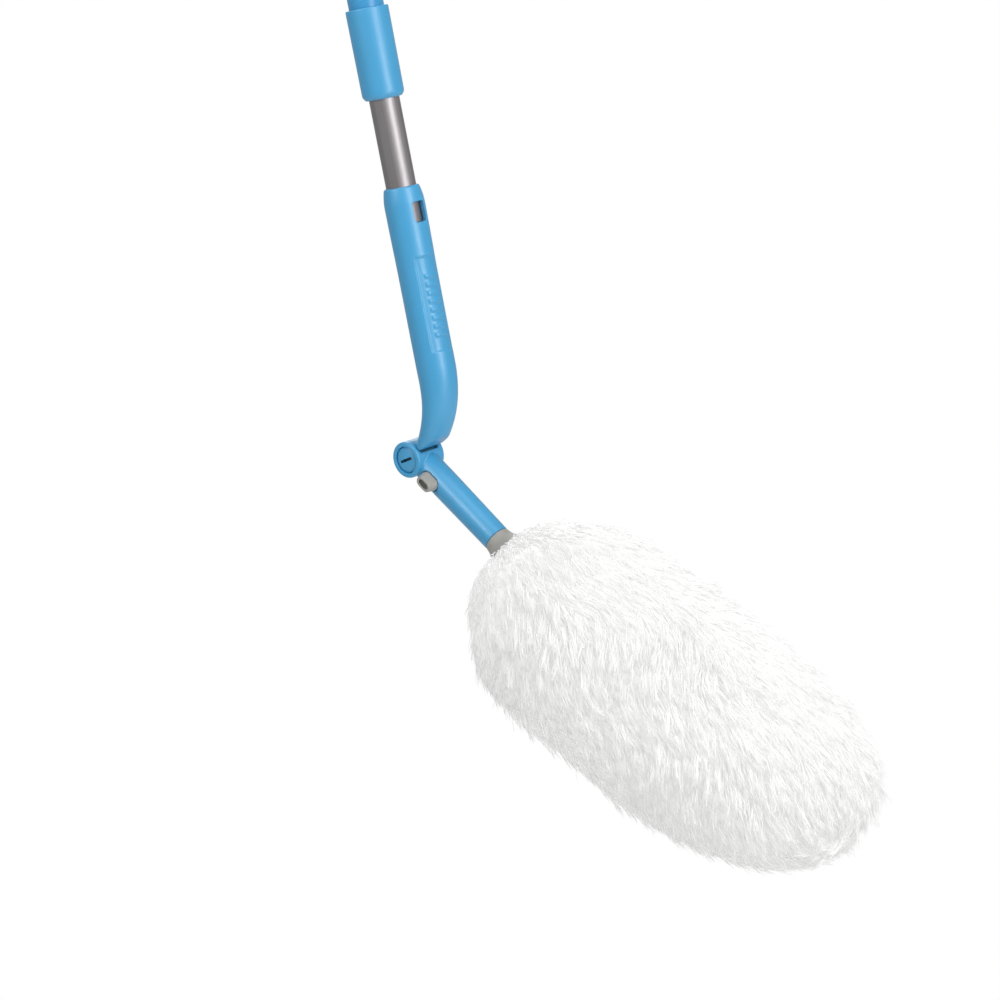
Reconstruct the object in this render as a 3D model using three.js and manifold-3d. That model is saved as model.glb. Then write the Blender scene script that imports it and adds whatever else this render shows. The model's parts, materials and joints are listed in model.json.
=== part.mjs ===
// Telescopic feather duster with a folding head: a twist-lock pole, a moulded neck,
// a push-button hinge and a washable fluffy sleeve on a curved core.
// Millimetres, +Z up. The origin is the centre of the hanging hole at the top of the pole.
// The pole runs down -Z, the hinge axis is parallel to Y and the head leans towards +X.
import * as THREE from 'three';
import { mergeVertices } from 'three/addons/utils/BufferGeometryUtils.js';
import Module from 'manifold-3d';

const wasm = await Module();
wasm.setup();

const GAP = 0.3;                 // clearance between neighbouring pieces
const SIDES = 24;                // facets round the tubes

// Pole
const OUTER_R = 11;              // outer tube, 22 mm diameter
const INNER_R = 9.5;             // inner tube, 19 mm diameter
const WALL = 0.8;
const OUTER_TOP = -18;
const OUTER_END = -457.5;
const INNER_TOP = -125;
const HANDLE_TOP = -540.5;
const INNER_END = HANDLE_TOP - 62;
const GRIP_TOP = -24;
const GRIP_END = -152;
const GRIP_R = 14;

// Twist lock
const COLLAR_TOP = -429.5;
const COLLAR_END = -485.5;
const COLLAR_R = 13.4;
const THREAD_R = 12.1;

// Neck and hinge
const HANDLE_R = 12.5;
const HINGE = new THREE.Vector3(-30.7, 0, -711);
const BARREL_R = 11.7;
const BARREL_HALF = 11.9;
const EAR = 3.7;                 // thickness of each ear of the arm
const KNUCKLE_HALF = BARREL_HALF - EAR - GAP;
const KNUCKLE_R = 9;             // where the arm's web sweeps round it
const WEB_R = KNUCKLE_R + GAP;
const CAP_R = 8.4;               // visible head of the pivot bolt
const BOLT_R = 4.5;
const SLOT_TURN = THREE.MathUtils.degToRad(32);

// Arm: its own frame has the hinge at the origin and the arm running down -Z
const ARM_TILT = THREE.MathUtils.degToRad(44.6);
const ARM_END = -77.5;
const ARM_R = 9.4;
const ARM_END_R = 8.9;
const ARM_BORE_R = 7.2;

// Release button and pawl, in the arm's frame
const BUTTON_Z = -20.7;
const BUTTON_LONG = 14.4;        // where it leaves the arm; it tapers to its face
const BUTTON_WIDE = 7.6;
const BUTTON_FACE_Z = -21.4;
const BUTTON_FACE_LONG = 11.8;
const BUTTON_FACE_WIDE = 6.8;
const BUTTON_FACE_Y = -15.8;
const BUTTON_TRAVEL = 4;
const PAWL_TRAVEL = 2;

// Head, in the arm's frame
const LIP_Z = -89.5;             // rim of the grey collar
const HEAD_LENGTH = 293;
const HEAD_R = 69.5;
const HEAD_BEND = THREE.MathUtils.degToRad(18.3);
const BEND_R = HEAD_LENGTH / HEAD_BEND;
const CORE_HALF = 25;            // half the width of the core frame
const BAG_END = 270;             // closed end of the woven bag, past the collar's rim
const ROD_R = 3.5;

const BLUE = { color: 0x5aa9d6, roughness: 0.42, metalness: 0 };
const BLUE_PAINT = { color: 0x4f9fd0, roughness: 0.3, metalness: 0.1 };
const GREY = { color: 0xa3a39c, roughness: 0.5, metalness: 0 };
const STEEL = { color: 0x9c9894, roughness: 0.3, metalness: 1 };
const WHITE_PLASTIC = { color: 0xe2e2de, roughness: 0.5, metalness: 0 };
const WHITE_FABRIC = { color: 0xf4f4f2, roughness: 0.95, metalness: 0 };

// ---------------------------------------------------------------- helpers

// A closed solid, facing out, from any closed geometry.
function solid(geometry) {
  const bare = new THREE.BufferGeometry();
  bare.setAttribute('position', geometry.getAttribute('position'));
  bare.setIndex(geometry.getIndex());
  const merged = mergeVertices(bare, 1e-4);
  const points = merged.getAttribute('position').array;
  const corners = [];
  let volume = 0;
  const [a, b, c] = [new THREE.Vector3(), new THREE.Vector3(), new THREE.Vector3()];
  for (let i = 0; i < merged.index.count; i += 3) {
    const [p, q, r] = merged.index.array.slice(i, i + 3);
    if (p === q || q === r || r === p) continue;
    corners.push(p, q, r);
    a.fromArray(points, 3 * p);
    b.fromArray(points, 3 * q);
    c.fromArray(points, 3 * r);
    volume += a.dot(b.cross(c));
  }
  if (volume < 0) corners.reverse();
  const vertProperties = Float32Array.from(points);
  const triVerts = Uint32Array.from(corners);
  return new wasm.Manifold(new wasm.Mesh({ numProp: 3, vertProperties, triVerts }));
}

function geometryOf(body) {
  const mesh = body.getMesh();
  const geometry = new THREE.BufferGeometry();
  const points = new Float32Array(mesh.vertProperties);
  geometry.setAttribute('position', new THREE.BufferAttribute(points, 3));
  geometry.setIndex(Array.from(mesh.triVerts));
  return geometry;
}

function piece(name, look, body) {
  const geometry = geometryOf(body);
  const flat = geometry.toNonIndexed();
  flat.computeVertexNormals();
  const mesh = new THREE.Mesh(flat, new THREE.MeshStandardMaterial(look));
  mesh.name = name;
  return mesh;
}

function joined(...bodies) {
  return bodies.reduce((whole, next) => whole.add(next));
}

// A body of revolution about Z; the profile is a list of [radius, z].
function turned(profile, sides = SIDES) {
  const points = profile.map(([r, z]) => new THREE.Vector2(r, z));
  const geometry = new THREE.LatheGeometry(points, sides);
  geometry.rotateX(Math.PI / 2);
  return geometry;
}

// A tube wall between two radii and two heights.
function tubeWall(inner, outer, low, high, sides = SIDES) {
  return turned([[inner, low], [outer, low], [outer, high], [inner, high], [inner, low]], sides);
}

function rod(radius, low, high, sides = SIDES) {
  return turned([[0, low], [radius, low], [radius, high], [0, high]], sides);
}

// The same, but turned so that its axis is Y instead of Z.
function alongY(geometry) {
  return geometry.rotateX(-Math.PI / 2);
}

function box(low, high) {
  const size = high.map((value, i) => value - low[i]);
  const geometry = new THREE.BoxGeometry(...size);
  return geometry.translate(...low.map((value, i) => value + size[i] / 2));
}

// A slot-shaped bar along Y: length along Z, width along X, both ends round.
function obround(length, width, lowY, highY, centreZ) {
  const shape = new THREE.Shape();
  const r = width / 2;
  const half = length / 2 - r;
  shape.absarc(0, half, r, 0, Math.PI);
  shape.absarc(0, -half, r, Math.PI, 2 * Math.PI);
  const options = { depth: highY - lowY, bevelEnabled: false, curveSegments: 8 };
  const geometry = new THREE.ExtrudeGeometry(shape, options);
  geometry.rotateX(Math.PI / 2);
  return geometry.translate(0, highY, centreZ);
}

// A wedge of a disc, from one angle to another in degrees, extruded along Z.
function wedge(radius, from, to, depth, curveSegments) {
  const [start, end] = [THREE.MathUtils.degToRad(from), THREE.MathUtils.degToRad(to)];
  const shape = new THREE.Shape();
  shape.moveTo(0, 0);
  shape.lineTo(radius * Math.cos(start), radius * Math.sin(start));
  shape.absarc(0, 0, radius, start, end);
  shape.closePath();
  return new THREE.ExtrudeGeometry(shape, { depth, bevelEnabled: false, curveSegments });
}

// The same about the Y axis, with angles from +X towards +Z.
function sector(radius, from, to, half) {
  const geometry = wedge(radius, from, to, 2 * half, 16);
  return geometry.rotateX(Math.PI / 2).translate(0, half, 0);
}

// The same about the Z axis, between two heights.
function sectorUp(radius, from, to, low, high) {
  return wedge(radius, from, to, high - low, 12).translate(0, 0, low);
}

// A capped body lofted through rings: place(t) gives the ring's centre, its tilt about Y
// and its half widths along the local X and Y.
function loft(place, rings, sides = SIDES) {
  const geometry = new THREE.CylinderGeometry(1, 1, 1, sides, rings);
  const position = geometry.getAttribute('position');
  const point = new THREE.Vector3();
  const up = new THREE.Vector3(0, 1, 0);
  for (let i = 0; i < position.count; i += 1) {
    point.fromBufferAttribute(position, i);
    const ring = place(0.5 - point.y);
    const across = new THREE.Vector3(point.x * ring.halfX, point.z * ring.halfY, 0);
    across.applyAxisAngle(up, ring.tilt).add(ring.centre);
    position.setXYZ(i, across.x, across.y, across.z);
  }
  return geometry;
}

// A coil's centre line, climbing along Z.
class Coil extends THREE.Curve {
  constructor(radius, length, turns) {
    super();
    Object.assign(this, { radius, length, turns });
  }

  getPoint(t) {
    const angle = 2 * Math.PI * this.turns * t;
    const x = this.radius * Math.cos(angle);
    const y = this.radius * Math.sin(angle);
    return new THREE.Vector3(x, y, this.length * t);
  }
}

function spring(radius, wire, length, turns) {
  const shape = new THREE.Shape();
  shape.absarc(0, 0, wire, 0, 2 * Math.PI);
  const options = {
    steps: Math.round(turns * 10),
    curveSegments: 3,
    bevelEnabled: false,
    extrudePath: new Coil(radius, length, turns),
  };
  return new THREE.ExtrudeGeometry(shape, options);
}

// ---------------------------------------------------------------- pole

function hangerCap() {
  const tab = new THREE.Shape();
  tab.moveTo(-9.5, -16);
  tab.lineTo(9.5, -16);
  tab.lineTo(9.5, 3);
  tab.absarc(0, 3, 9.5, 0, Math.PI);
  tab.closePath();
  const hole = new THREE.Path();
  hole.absarc(0, 0, 4.5, 0, 2 * Math.PI, true);
  tab.holes.push(hole);
  const options = {
    depth: 7, curveSegments: 12, bevelSize: 0.8, bevelThickness: 0.8, bevelSegments: 2,
  };
  const plate = new THREE.ExtrudeGeometry(tab, options);
  plate.rotateX(Math.PI / 2).translate(0, 3.5, 0);
  const flange = turned([[0, -17.7], [12.2, -17.7], [13, -16.5], [11, -11.5], [0, -9.5]]);
  const plug = turned([[0, -44], [9.2, -44], [9.8, -42], [9.8, -17.5], [0, -17.5]]);
  return joined(solid(plate), solid(flange), solid(plug));
}

function gripProfile() {
  const profile = [[OUTER_R + GAP, GRIP_END], [GRIP_R - 1.2, GRIP_END]];
  const ridges = 5;
  const step = (GRIP_TOP - GRIP_END - 16) / ridges;
  for (let i = 0; i < ridges; i += 1) {
    const z = GRIP_END + 6 + i * step;
    profile.push([GRIP_R, z], [GRIP_R, z + step - 4], [GRIP_R - 0.9, z + step - 2]);
  }
  profile.push([GRIP_R, GRIP_TOP - 9], [GRIP_R, GRIP_TOP - 2], [GRIP_R - 1.5, GRIP_TOP]);
  profile.push([OUTER_R + GAP, GRIP_TOP], [OUTER_R + GAP, GRIP_END]);
  return profile;
}

// Sleeve on the end of the outer tube, with a stepped rib for the collar's thread.
function ferrule() {
  const bore = INNER_R + 0.35;
  const thread = [];
  const pitch = 3;
  for (let i = 0; i < 3; i += 1) {
    const z = OUTER_END - i * pitch;
    thread.push([THREAD_R, z], [THREAD_R, z - 1.2], [THREAD_R - 0.5, z - 1.8]);
    thread.push([THREAD_R - 0.5, z - pitch + 0.6]);
  }
  const top = OUTER_END + 12;
  const end = OUTER_END - 11;
  return turned([
    [OUTER_R + GAP, top], [THREAD_R, top], ...thread, [THREAD_R - 0.5, end], [bore, end],
    [bore, OUTER_END - GAP], [OUTER_R + GAP, OUTER_END - GAP], [OUTER_R + GAP, top],
  ]);
}

// Split clamping ring that the collar squeezes onto the inner tube.
function collet() {
  const top = OUTER_END - 11.4;
  const bore = INNER_R + 0.25;
  const end = COLLAR_END + 4.2;
  const ring = solid(turned([
    [bore, top], [11.5, top], [11.5, top - 4], [10.5, end], [bore, end], [bore, top],
  ]));
  return ring.subtract(solid(box([0, -0.8, end - 1], [20, 0.8, top + 1])));
}

function twistCollar() {
  const bore = OUTER_R + GAP;
  const threadEnd = OUTER_END - 13;
  return solid(turned([
    [bore, COLLAR_TOP], [COLLAR_R - 0.3, COLLAR_TOP], [COLLAR_R, COLLAR_TOP - 0.6],
    [COLLAR_R - 0.25, COLLAR_END + 4], [COLLAR_R - 0.8, COLLAR_END + 1.6],
    [COLLAR_R - 2.1, COLLAR_END + 0.3], [COLLAR_R - 3, COLLAR_END],
    [INNER_R + 0.4, COLLAR_END], [INNER_R + 0.4, COLLAR_END + 3.4], [11, COLLAR_END + 4.6],
    [THREAD_R + GAP, threadEnd], [THREAD_R + GAP, OUTER_END + 13], [bore, OUTER_END + 14],
    [bore, COLLAR_TOP],
  ], 28));
}

// ---------------------------------------------------------------- neck

// The moulded neck runs straight down the pole and then bends back to the hinge.
const NECK_STRAIGHT_END = HINGE.z + 56;
const neckBend = new THREE.CubicBezierCurve3(
  new THREE.Vector3(0, 0, NECK_STRAIGHT_END),
  new THREE.Vector3(0, 0, HINGE.z + 34),
  new THREE.Vector3(-6, 0, HINGE.z + 20),
  new THREE.Vector3(-22.5, 0, HINGE.z + 2),
);

function neckRing(t) {
  const centre = neckBend.getPoint(t);
  const heading = neckBend.getTangent(t);
  const tilt = Math.atan2(-heading.x, -heading.z);
  const narrow = t ** 1.3;
  const halfX = THREE.MathUtils.lerp(HANDLE_R - 0.1, 6.6, narrow);
  const halfY = THREE.MathUtils.lerp(HANDLE_R - 0.1, 10.2, narrow);
  return { centre, tilt, halfX, halfY };
}

// Thumb panel: a shallow recess on the front with raised cross ribs.
function panelRecess(top, end) {
  const shell = solid(tubeWall(HANDLE_R - 0.9, HANDLE_R + 3, end, top, 32));
  return shell.intersect(solid(sectorUp(20, -47, 47, end, top)));
}

function panelRibs(top, end) {
  const count = 7;
  const step = (top - end - 14) / count;
  const ribs = [];
  for (let i = 0; i < count; i += 1) {
    const z = end + 8 + i * step;
    const ring = solid(tubeWall(HANDLE_R - 1.3, HANDLE_R - 0.25, z, z + 0.45 * step, 32));
    ribs.push(ring.intersect(solid(sectorUp(20, -26, 26, z - 1, z + step))));
  }
  return joined(...ribs);
}

function neckHandle() {
  const straight = solid(turned([
    [0, NECK_STRAIGHT_END - 0.01], [HANDLE_R - 0.1, NECK_STRAIGHT_END - 0.01],
    [HANDLE_R, HANDLE_TOP - 60], [HANDLE_R + 0.25, HANDLE_TOP - 10],
    [HANDLE_R - 0.5, HANDLE_TOP - 5], [HANDLE_R - 1.2, HANDLE_TOP - 2],
    [HANDLE_R - 1.9, HANDLE_TOP - 0.6], [HANDLE_R - 2.3, HANDLE_TOP], [0, HANDLE_TOP],
  ], 32));
  const bend = solid(loft(neckRing, 9, 24));
  const socket = solid(rod(INNER_R + GAP, INNER_END - 1.5, HANDLE_TOP + 1));
  const window = solid(sideWindow(9.6, 12.8, HANDLE_TOP - 16.7));
  const panelTop = HANDLE_TOP - 44;
  const panelEnd = HANDLE_TOP - 104.3;
  const recess = panelRecess(panelTop, panelEnd);
  const shaped = straight.subtract(recess).add(panelRibs(panelTop, panelEnd)).add(bend);
  return knuckleOn(shaped.subtract(socket).subtract(window));
}

// Rounded rectangle cut from the axis out through the +X side.
function sideWindow(width, height, centreZ) {
  const r = 1.8;
  const [w, h] = [width / 2, height / 2];
  const shape = new THREE.Shape();
  shape.absarc(w - r, h - r, r, 0, Math.PI / 2);
  shape.absarc(-w + r, h - r, r, Math.PI / 2, Math.PI);
  shape.absarc(-w + r, -h + r, r, Math.PI, 1.5 * Math.PI);
  shape.absarc(w - r, -h + r, r, 1.5 * Math.PI, 2 * Math.PI);
  shape.closePath();
  const options = { depth: 20, bevelEnabled: false, curveSegments: 5 };
  const geometry = new THREE.ExtrudeGeometry(shape, options);
  geometry.rotateX(Math.PI / 2).rotateZ(Math.PI / 2);
  return geometry.translate(0, 0, centreZ);
}

// The neck ends in a knuckle between the arm's ears: full round where the neck meets it,
// smaller where the arm's web sweeps, with notches for the pawl every 45 degrees.
function knuckleOn(neck) {
  const clear = BARREL_R + 0.5;
  const here = (geometry) => solid(geometry.translate(HINGE.x, HINGE.y, HINGE.z));
  const earSpace = here(alongY(rod(clear, KNUCKLE_HALF, 20, 32)));
  const farEarSpace = here(alongY(rod(clear, -20, -KNUCKLE_HALF, 32)));
  const sweep = here(sector(clear, 112, 388, 20));
  const underside = here(sector(30, -70, 24, 20));
  const relief = here(sector(clear + 1.3, -70, 28, 20));
  const root = here(sector(BARREL_R - 0.2, 28, 112, KNUCKLE_HALF));
  const hub = here(alongY(rod(KNUCKLE_R, -KNUCKLE_HALF, KNUCKLE_HALF, 32)));
  const bore = here(alongY(rod(BOLT_R + GAP, -20, 20, 24)));
  let body = neck.subtract(earSpace).subtract(farEarSpace).subtract(sweep).subtract(underside)
    .subtract(relief).add(root).add(hub);
  for (let i = 0; i < 4; i += 1) {
    const notch = box([-1.7, -5, -KNUCKLE_R - 1], [1.7, 5, -KNUCKLE_R + 1.6]);
    notch.rotateY(-ARM_TILT + i * Math.PI / 4);
    body = body.subtract(here(notch));
  }
  return body.subtract(bore);
}

// ---------------------------------------------------------------- arm

function ear(side) {
  const low = BARREL_HALF - EAR;
  const profile = [
    [0, low], [BARREL_R - 0.5, low], [BARREL_R, low + 0.5], [BARREL_R, BARREL_HALF - 1.3],
    [BARREL_R - 0.4, BARREL_HALF - 0.4], [BARREL_R - 1.3, BARREL_HALF], [0, BARREL_HALF],
  ];
  const disc = turned(profile.map(([r, y]) => [r, side * y]), 32);
  return solid(alongY(disc));
}

function arm() {
  const webFrom = -139.6;
  const webTo = -26.8;
  const web = solid(sector(BARREL_R, webFrom, webTo, BARREL_HALF - 1));
  const tube = solid(turned([
    [0, -2], [ARM_R, -2], [ARM_R, -30], [ARM_END_R, ARM_END + 0.4],
    [ARM_END_R - 0.4, ARM_END], [0, ARM_END],
  ], 32));
  const cavity = solid(alongY(rod(WEB_R + 0.05, -KNUCKLE_HALF - GAP, KNUCKLE_HALF + GAP, 32)));
  const neckRoom = solid(sector(14, webTo, 360 + webFrom, KNUCKLE_HALF + GAP));
  const bore = solid(rod(ARM_BORE_R, ARM_END - 1, -5));
  const pocket = solid(obround(BUTTON_LONG + 0.9, BUTTON_WIDE + 0.9, -20, -2, BUTTON_Z));
  const boltHole = solid(alongY(rod(BOLT_R + GAP, -20, 20, 24)));
  const capSeat = solid(alongY(rod(CAP_R + GAP, BARREL_HALF - 2.2, 20, 32)));
  const farSeat = solid(alongY(rod(CAP_R + GAP, -20, -BARREL_HALF + 2.2, 32)));
  const body = joined(ear(1), ear(-1), web, tube.subtract(neckRoom));
  return body.subtract(cavity).subtract(bore).subtract(pocket).subtract(boltHole)
    .subtract(capSeat).subtract(farSeat);
}

// Pivot bolt: a flush slotted cap on the near side and a hollow shank.
function pivotBolt() {
  const face = -BARREL_HALF + 0.5;
  const inner = -BARREL_HALF + 2.2 - GAP;
  const end = 6.5;
  const head = solid(alongY(turned([
    [0, inner], [CAP_R, inner], [CAP_R, face + 0.5], [CAP_R - 0.5, face], [0, face],
  ], 32)));
  const shank = solid(alongY(rod(BOLT_R, face + 0.5, end, 24)));
  const bore = solid(alongY(rod(2.2, -3, 20, 16)));
  const slot = box([-5.2, face - 1, -0.8], [5.2, face + 0.8, 0.8]);
  slot.rotateY(SLOT_TURN);
  return head.add(shank).subtract(bore).subtract(solid(slot));
}

// Pivot nut: the matching cap on the far side, with a screw tip inside the shank.
function pivotNut() {
  const face = BARREL_HALF - 0.5;
  const inner = BARREL_HALF - 2.2 + GAP;
  const head = solid(alongY(turned([
    [0, inner], [CAP_R, inner], [CAP_R, face - 0.5], [CAP_R - 0.5, face], [0, face],
  ], 32)));
  const tip = solid(alongY(rod(1.9, -2, face - 0.5, 16)));
  const recess = solid(alongY(rod(3, face - 0.9, face + 1, 6)));
  return head.add(tip).subtract(recess);
}

function pivotWasher() {
  return solid(alongY(tubeWall(2.4, BOLT_R - 0.2, 6.9, 7.9, 20)));
}

// ---------------------------------------------------------------- release button

// The button's stem is a wedge: pushed in by its travel, its sloped underside pushes the
// pawl down by half as much, and the pawl's spring pushes both back.
const WEDGE_SLOPE = PAWL_TRAVEL / BUTTON_TRAVEL;
const BUTTON_INNER_Y = -5.2;
const TAB_TOP_Z = BUTTON_Z + BUTTON_LONG / 2 + 0.8;    // inside the arm, past the pocket's ends
const TAB_END_Z = BUTTON_Z - BUTTON_LONG / 2 - 1;
const WEDGE_TIP_Y = 0.5;
const WEDGE_TOP_Z = BUTTON_Z + 2.4;
const WEDGE_FOOT_Z = BUTTON_Z - 3.4;

// A bar across X whose outline is given in the plane of Y and Z.
function barAcross(outline, half) {
  const shape = new THREE.Shape(outline.map(([y, z]) => new THREE.Vector2(y, z)));
  const bar = new THREE.ExtrudeGeometry(shape, { depth: 2 * half, bevelEnabled: false });
  bar.translate(0, 0, -half);
  return bar.applyMatrix4(new THREE.Matrix4().makeBasis(
    new THREE.Vector3(0, 1, 0), new THREE.Vector3(0, 0, 1), new THREE.Vector3(1, 0, 0),
  ));
}

function wedgeUnderside(y) {
  return WEDGE_FOOT_Z + WEDGE_SLOPE * (y - BUTTON_INNER_Y);
}

function lockButton() {
  const base = obround(BUTTON_LONG, BUTTON_WIDE, BUTTON_INNER_Y - 4, BUTTON_INNER_Y, BUTTON_Z);
  const face = obround(
    BUTTON_FACE_LONG, BUTTON_FACE_WIDE, BUTTON_FACE_Y, BUTTON_FACE_Y + 0.6, BUTTON_FACE_Z,
  );
  const cap = wasm.Manifold.hull([solid(base), solid(face)]);
  const dish = solid(obround(7.2, 3.8, BUTTON_FACE_Y - 1, BUTTON_FACE_Y + 0.9, BUTTON_FACE_Z));
  const tabs = solid(box(
    [-3, BUTTON_INNER_Y - 1, TAB_END_Z], [3, BUTTON_INNER_Y, TAB_TOP_Z],
  ));
  const wedge = solid(barAcross([
    [BUTTON_INNER_Y - 0.5, WEDGE_FOOT_Z], [BUTTON_INNER_Y, WEDGE_FOOT_Z],
    [WEDGE_TIP_Y, wedgeUnderside(WEDGE_TIP_Y)], [WEDGE_TIP_Y, WEDGE_TOP_Z],
    [BUTTON_INNER_Y - 0.5, WEDGE_TOP_Z],
  ], 1.6));
  return cap.subtract(dish).add(tabs).add(wedge);
}

const PAWL_R = ARM_BORE_R - 0.4;
const PAWL_TOP = -WEB_R;
const PAWL_END = -32;
const SPRING_SEAT_TOP = -40;

function lockPawl() {
  const body = solid(turned([
    [0, PAWL_TOP - 2.4], [PAWL_R - 0.6, PAWL_TOP - 2.4], [PAWL_R, PAWL_TOP - 3],
    [PAWL_R, PAWL_END], [0, PAWL_END],
  ]));
  const nose = solid(box([-1.4, -4.6, PAWL_TOP - 3], [1.4, 4.6, PAWL_TOP - 0.1]));
  const buttonRoom = solid(box(
    [-20, -20, TAB_END_Z - GAP],
    [20, BUTTON_INNER_Y + BUTTON_TRAVEL + GAP, TAB_TOP_Z + PAWL_TRAVEL + GAP],
  ));
  const spare = GAP * Math.hypot(1, WEDGE_SLOPE);
  const ceiling = WEDGE_TOP_Z + PAWL_TRAVEL + GAP;
  const wedgeWindow = solid(barAcross([
    [-9, wedgeUnderside(-9) - spare], [9, wedgeUnderside(9) - spare], [9, ceiling], [-9, ceiling],
  ], 1.6 + GAP));
  const springHole = solid(rod(2.9, PAWL_END - 1, PAWL_END + 1.5, 16));
  return body.add(nose).subtract(buttonRoom).subtract(wedgeWindow).subtract(springHole);
}

function pawlSpring() {
  const wire = 0.4;
  const top = PAWL_END + 1.5 - GAP - wire;
  const end = SPRING_SEAT_TOP + GAP + wire;
  return solid(spring(2.1, wire, top - end, 4).translate(0, 0, end));
}

function springSeat() {
  const r = ARM_BORE_R - GAP;
  return solid(turned([
    [0, SPRING_SEAT_TOP], [r, SPRING_SEAT_TOP], [r, SPRING_SEAT_TOP - 4],
    [0, SPRING_SEAT_TOP - 4],
  ]));
}

// ---------------------------------------------------------------- head

// A point on the head's curved centre line, a distance s past the collar's rim.
function headPlace(s) {
  const turn = s / BEND_R;
  const x = BEND_R * (1 - Math.cos(turn));
  const z = LIP_Z - BEND_R * Math.sin(turn);
  return { centre: new THREE.Vector3(x, 0, z), tilt: -turn };
}

// Outline of the fluff: blunt at the collar, rounder at the far end.
function fluffRadius(t) {
  const v = 2 * t - 1;
  const [power, root] = v < 0 ? [3.6, 2.8] : [2.3, 2.4];
  return HEAD_R * (1 - Math.abs(v) ** power) ** (1 / root);
}

// A body along the head's centre line between two distances; the half widths are given
// at each distance.
function headLoft(from, to, halfX, halfY, rings, sides) {
  const place = (t) => {
    const s = THREE.MathUtils.lerp(from, to, t);
    return { ...headPlace(s), halfX: halfX(s), halfY: halfY(s) };
  };
  return solid(loft(place, rings, sides));
}

function fluff() {
  const from = 2;
  const place = (t) => {
    const eased = THREE.MathUtils.clamp(0.5 - 0.5 * Math.cos(Math.PI * t), 0.004, 0.996);
    const radius = fluffRadius(eased);
    return {
      ...headPlace(THREE.MathUtils.lerp(from, HEAD_LENGTH, eased)), halfX: radius, halfY: radius,
    };
  };
  const outside = solid(loft(place, 12, 20));
  return outside.subtract(bag(-6, BAG_END + GAP, 2 * GAP));
}

// How much wider the bag and its frame are, at a distance s, than at their narrow ends.
function swell(s) {
  const share = THREE.MathUtils.clamp((s + 20) / (BAG_END + 40), 0, 1);
  return (CORE_HALF - 8) * Math.sin(Math.PI * share);
}

// The woven bag under the pile: flat and oval in section, closed at the far end.
function bag(from, to, spare) {
  return headLoft(from, to, () => 9.6 + spare, (s) => 10.6 + spare + swell(s), 7, 16);
}

function sleeveBacking() {
  return bag(3, BAG_END, 0).subtract(bag(1, BAG_END - 2, -1.6));
}

// Flat oval frame that holds the sleeve open, with a hole along it for the core rod.
function coreFrame() {
  const from = 16;
  const to = BAG_END - 16;
  const boreR = ROD_R + 2 * GAP;
  const plate = headLoft(from, to, () => 3, (s) => 6.5 + swell(s), 6, 8);
  const spine = headLoft(from, to, () => 6.2, () => 6.2, 6, 10);
  const bore = headLoft(from - 4, to + 4, () => boreR, () => boreR, 6, 10);
  let frame = plate.add(spine).subtract(bore);
  for (let i = 0; i < 3; i += 1) {
    const { centre, tilt } = headPlace(58 + i * 66);
    for (const side of [-1, 1]) {
      const slot = box([-10, -5, -25], [10, 5, 25]);
      slot.translate(0, side * 13, 0).rotateY(tilt).translate(...centre);
      frame = frame.subtract(solid(slot));
    }
  }
  return frame;
}

function coreRod() {
  return headLoft(-16, BAG_END - 14, () => ROD_R, () => ROD_R, 8, 10);
}

// Elastic hem of the bag, gathered just inside the collar's rim.
function sleeveHem() {
  const hem = new THREE.TorusGeometry(8.6, 1.3, 8, 20);
  return solid(hem.translate(0, 0, LIP_Z + 2));
}

// Rounded cap on the far end of the core rod.
function coreTipCap() {
  const from = BAG_END - 13.5;
  const place = (t) => ({
    ...headPlace(THREE.MathUtils.lerp(from, from + 9, t)),
    halfX: 5 * Math.sqrt(1 - 0.85 * t * t), halfY: 5 * Math.sqrt(1 - 0.85 * t * t),
  });
  return solid(loft(place, 4, 14));
}

function headCollar() {
  const bell = [
    [0, ARM_END - GAP], [ARM_END_R - 0.2, ARM_END - GAP], [ARM_END_R, ARM_END - 1],
    [ARM_END_R + 0.5, ARM_END - 4], [10.6, ARM_END - 7.5], [12.2, LIP_Z + 2], [13.9, LIP_Z],
    [13.1, LIP_Z], [10.4, LIP_Z + 3.5], [8, LIP_Z + 5], [0, LIP_Z + 5],
  ];
  const flare = solid(turned(bell, 32));
  const spigotTop = ARM_END + 32;
  const spigot = solid(turned([
    [0, ARM_END - 1], [ARM_BORE_R - GAP, ARM_END - 1], [ARM_BORE_R - GAP, ARM_END + 18],
    [ARM_BORE_R - 1.2, ARM_END + 19], [ARM_BORE_R - 1.2, ARM_END + 22],
    [ARM_BORE_R - GAP, ARM_END + 23], [ARM_BORE_R - GAP, spigotTop - 2],
    [ARM_BORE_R - 1.4, spigotTop], [0, spigotTop],
  ]));
  return flare.add(spigot).subtract(solid(rod(3.8, LIP_Z - 5, ARM_END + 6, 16)));
}

// ---------------------------------------------------------------- assembly

const pole = new THREE.Group();
pole.add(
  piece('hanger_cap', GREY, hangerCap()),
  piece('pole_grip', BLUE, solid(turned(gripProfile()))),
  piece('outer_tube', BLUE_PAINT, solid(tubeWall(OUTER_R - WALL, OUTER_R, OUTER_END, OUTER_TOP))),
  piece('collar_ferrule', WHITE_PLASTIC, solid(ferrule())),
  piece('collet', WHITE_PLASTIC, collet()),
  piece('twist_collar', BLUE, twistCollar()),
);

const lowerPole = new THREE.Group();
lowerPole.add(
  piece('inner_tube', STEEL, solid(tubeWall(INNER_R - WALL, INNER_R, INNER_END, INNER_TOP))),
  piece('tube_end_guide', WHITE_PLASTIC, solid(turned([
    [3, INNER_TOP - 14], [8.4, INNER_TOP - 14], [8.4, INNER_TOP + GAP], [9.85, INNER_TOP + GAP],
    [9.85, INNER_TOP + 7], [9.2, INNER_TOP + 8], [3, INNER_TOP + 8], [3, INNER_TOP - 14],
  ]))),
  piece('neck_handle', BLUE, neckHandle()),
);

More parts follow.
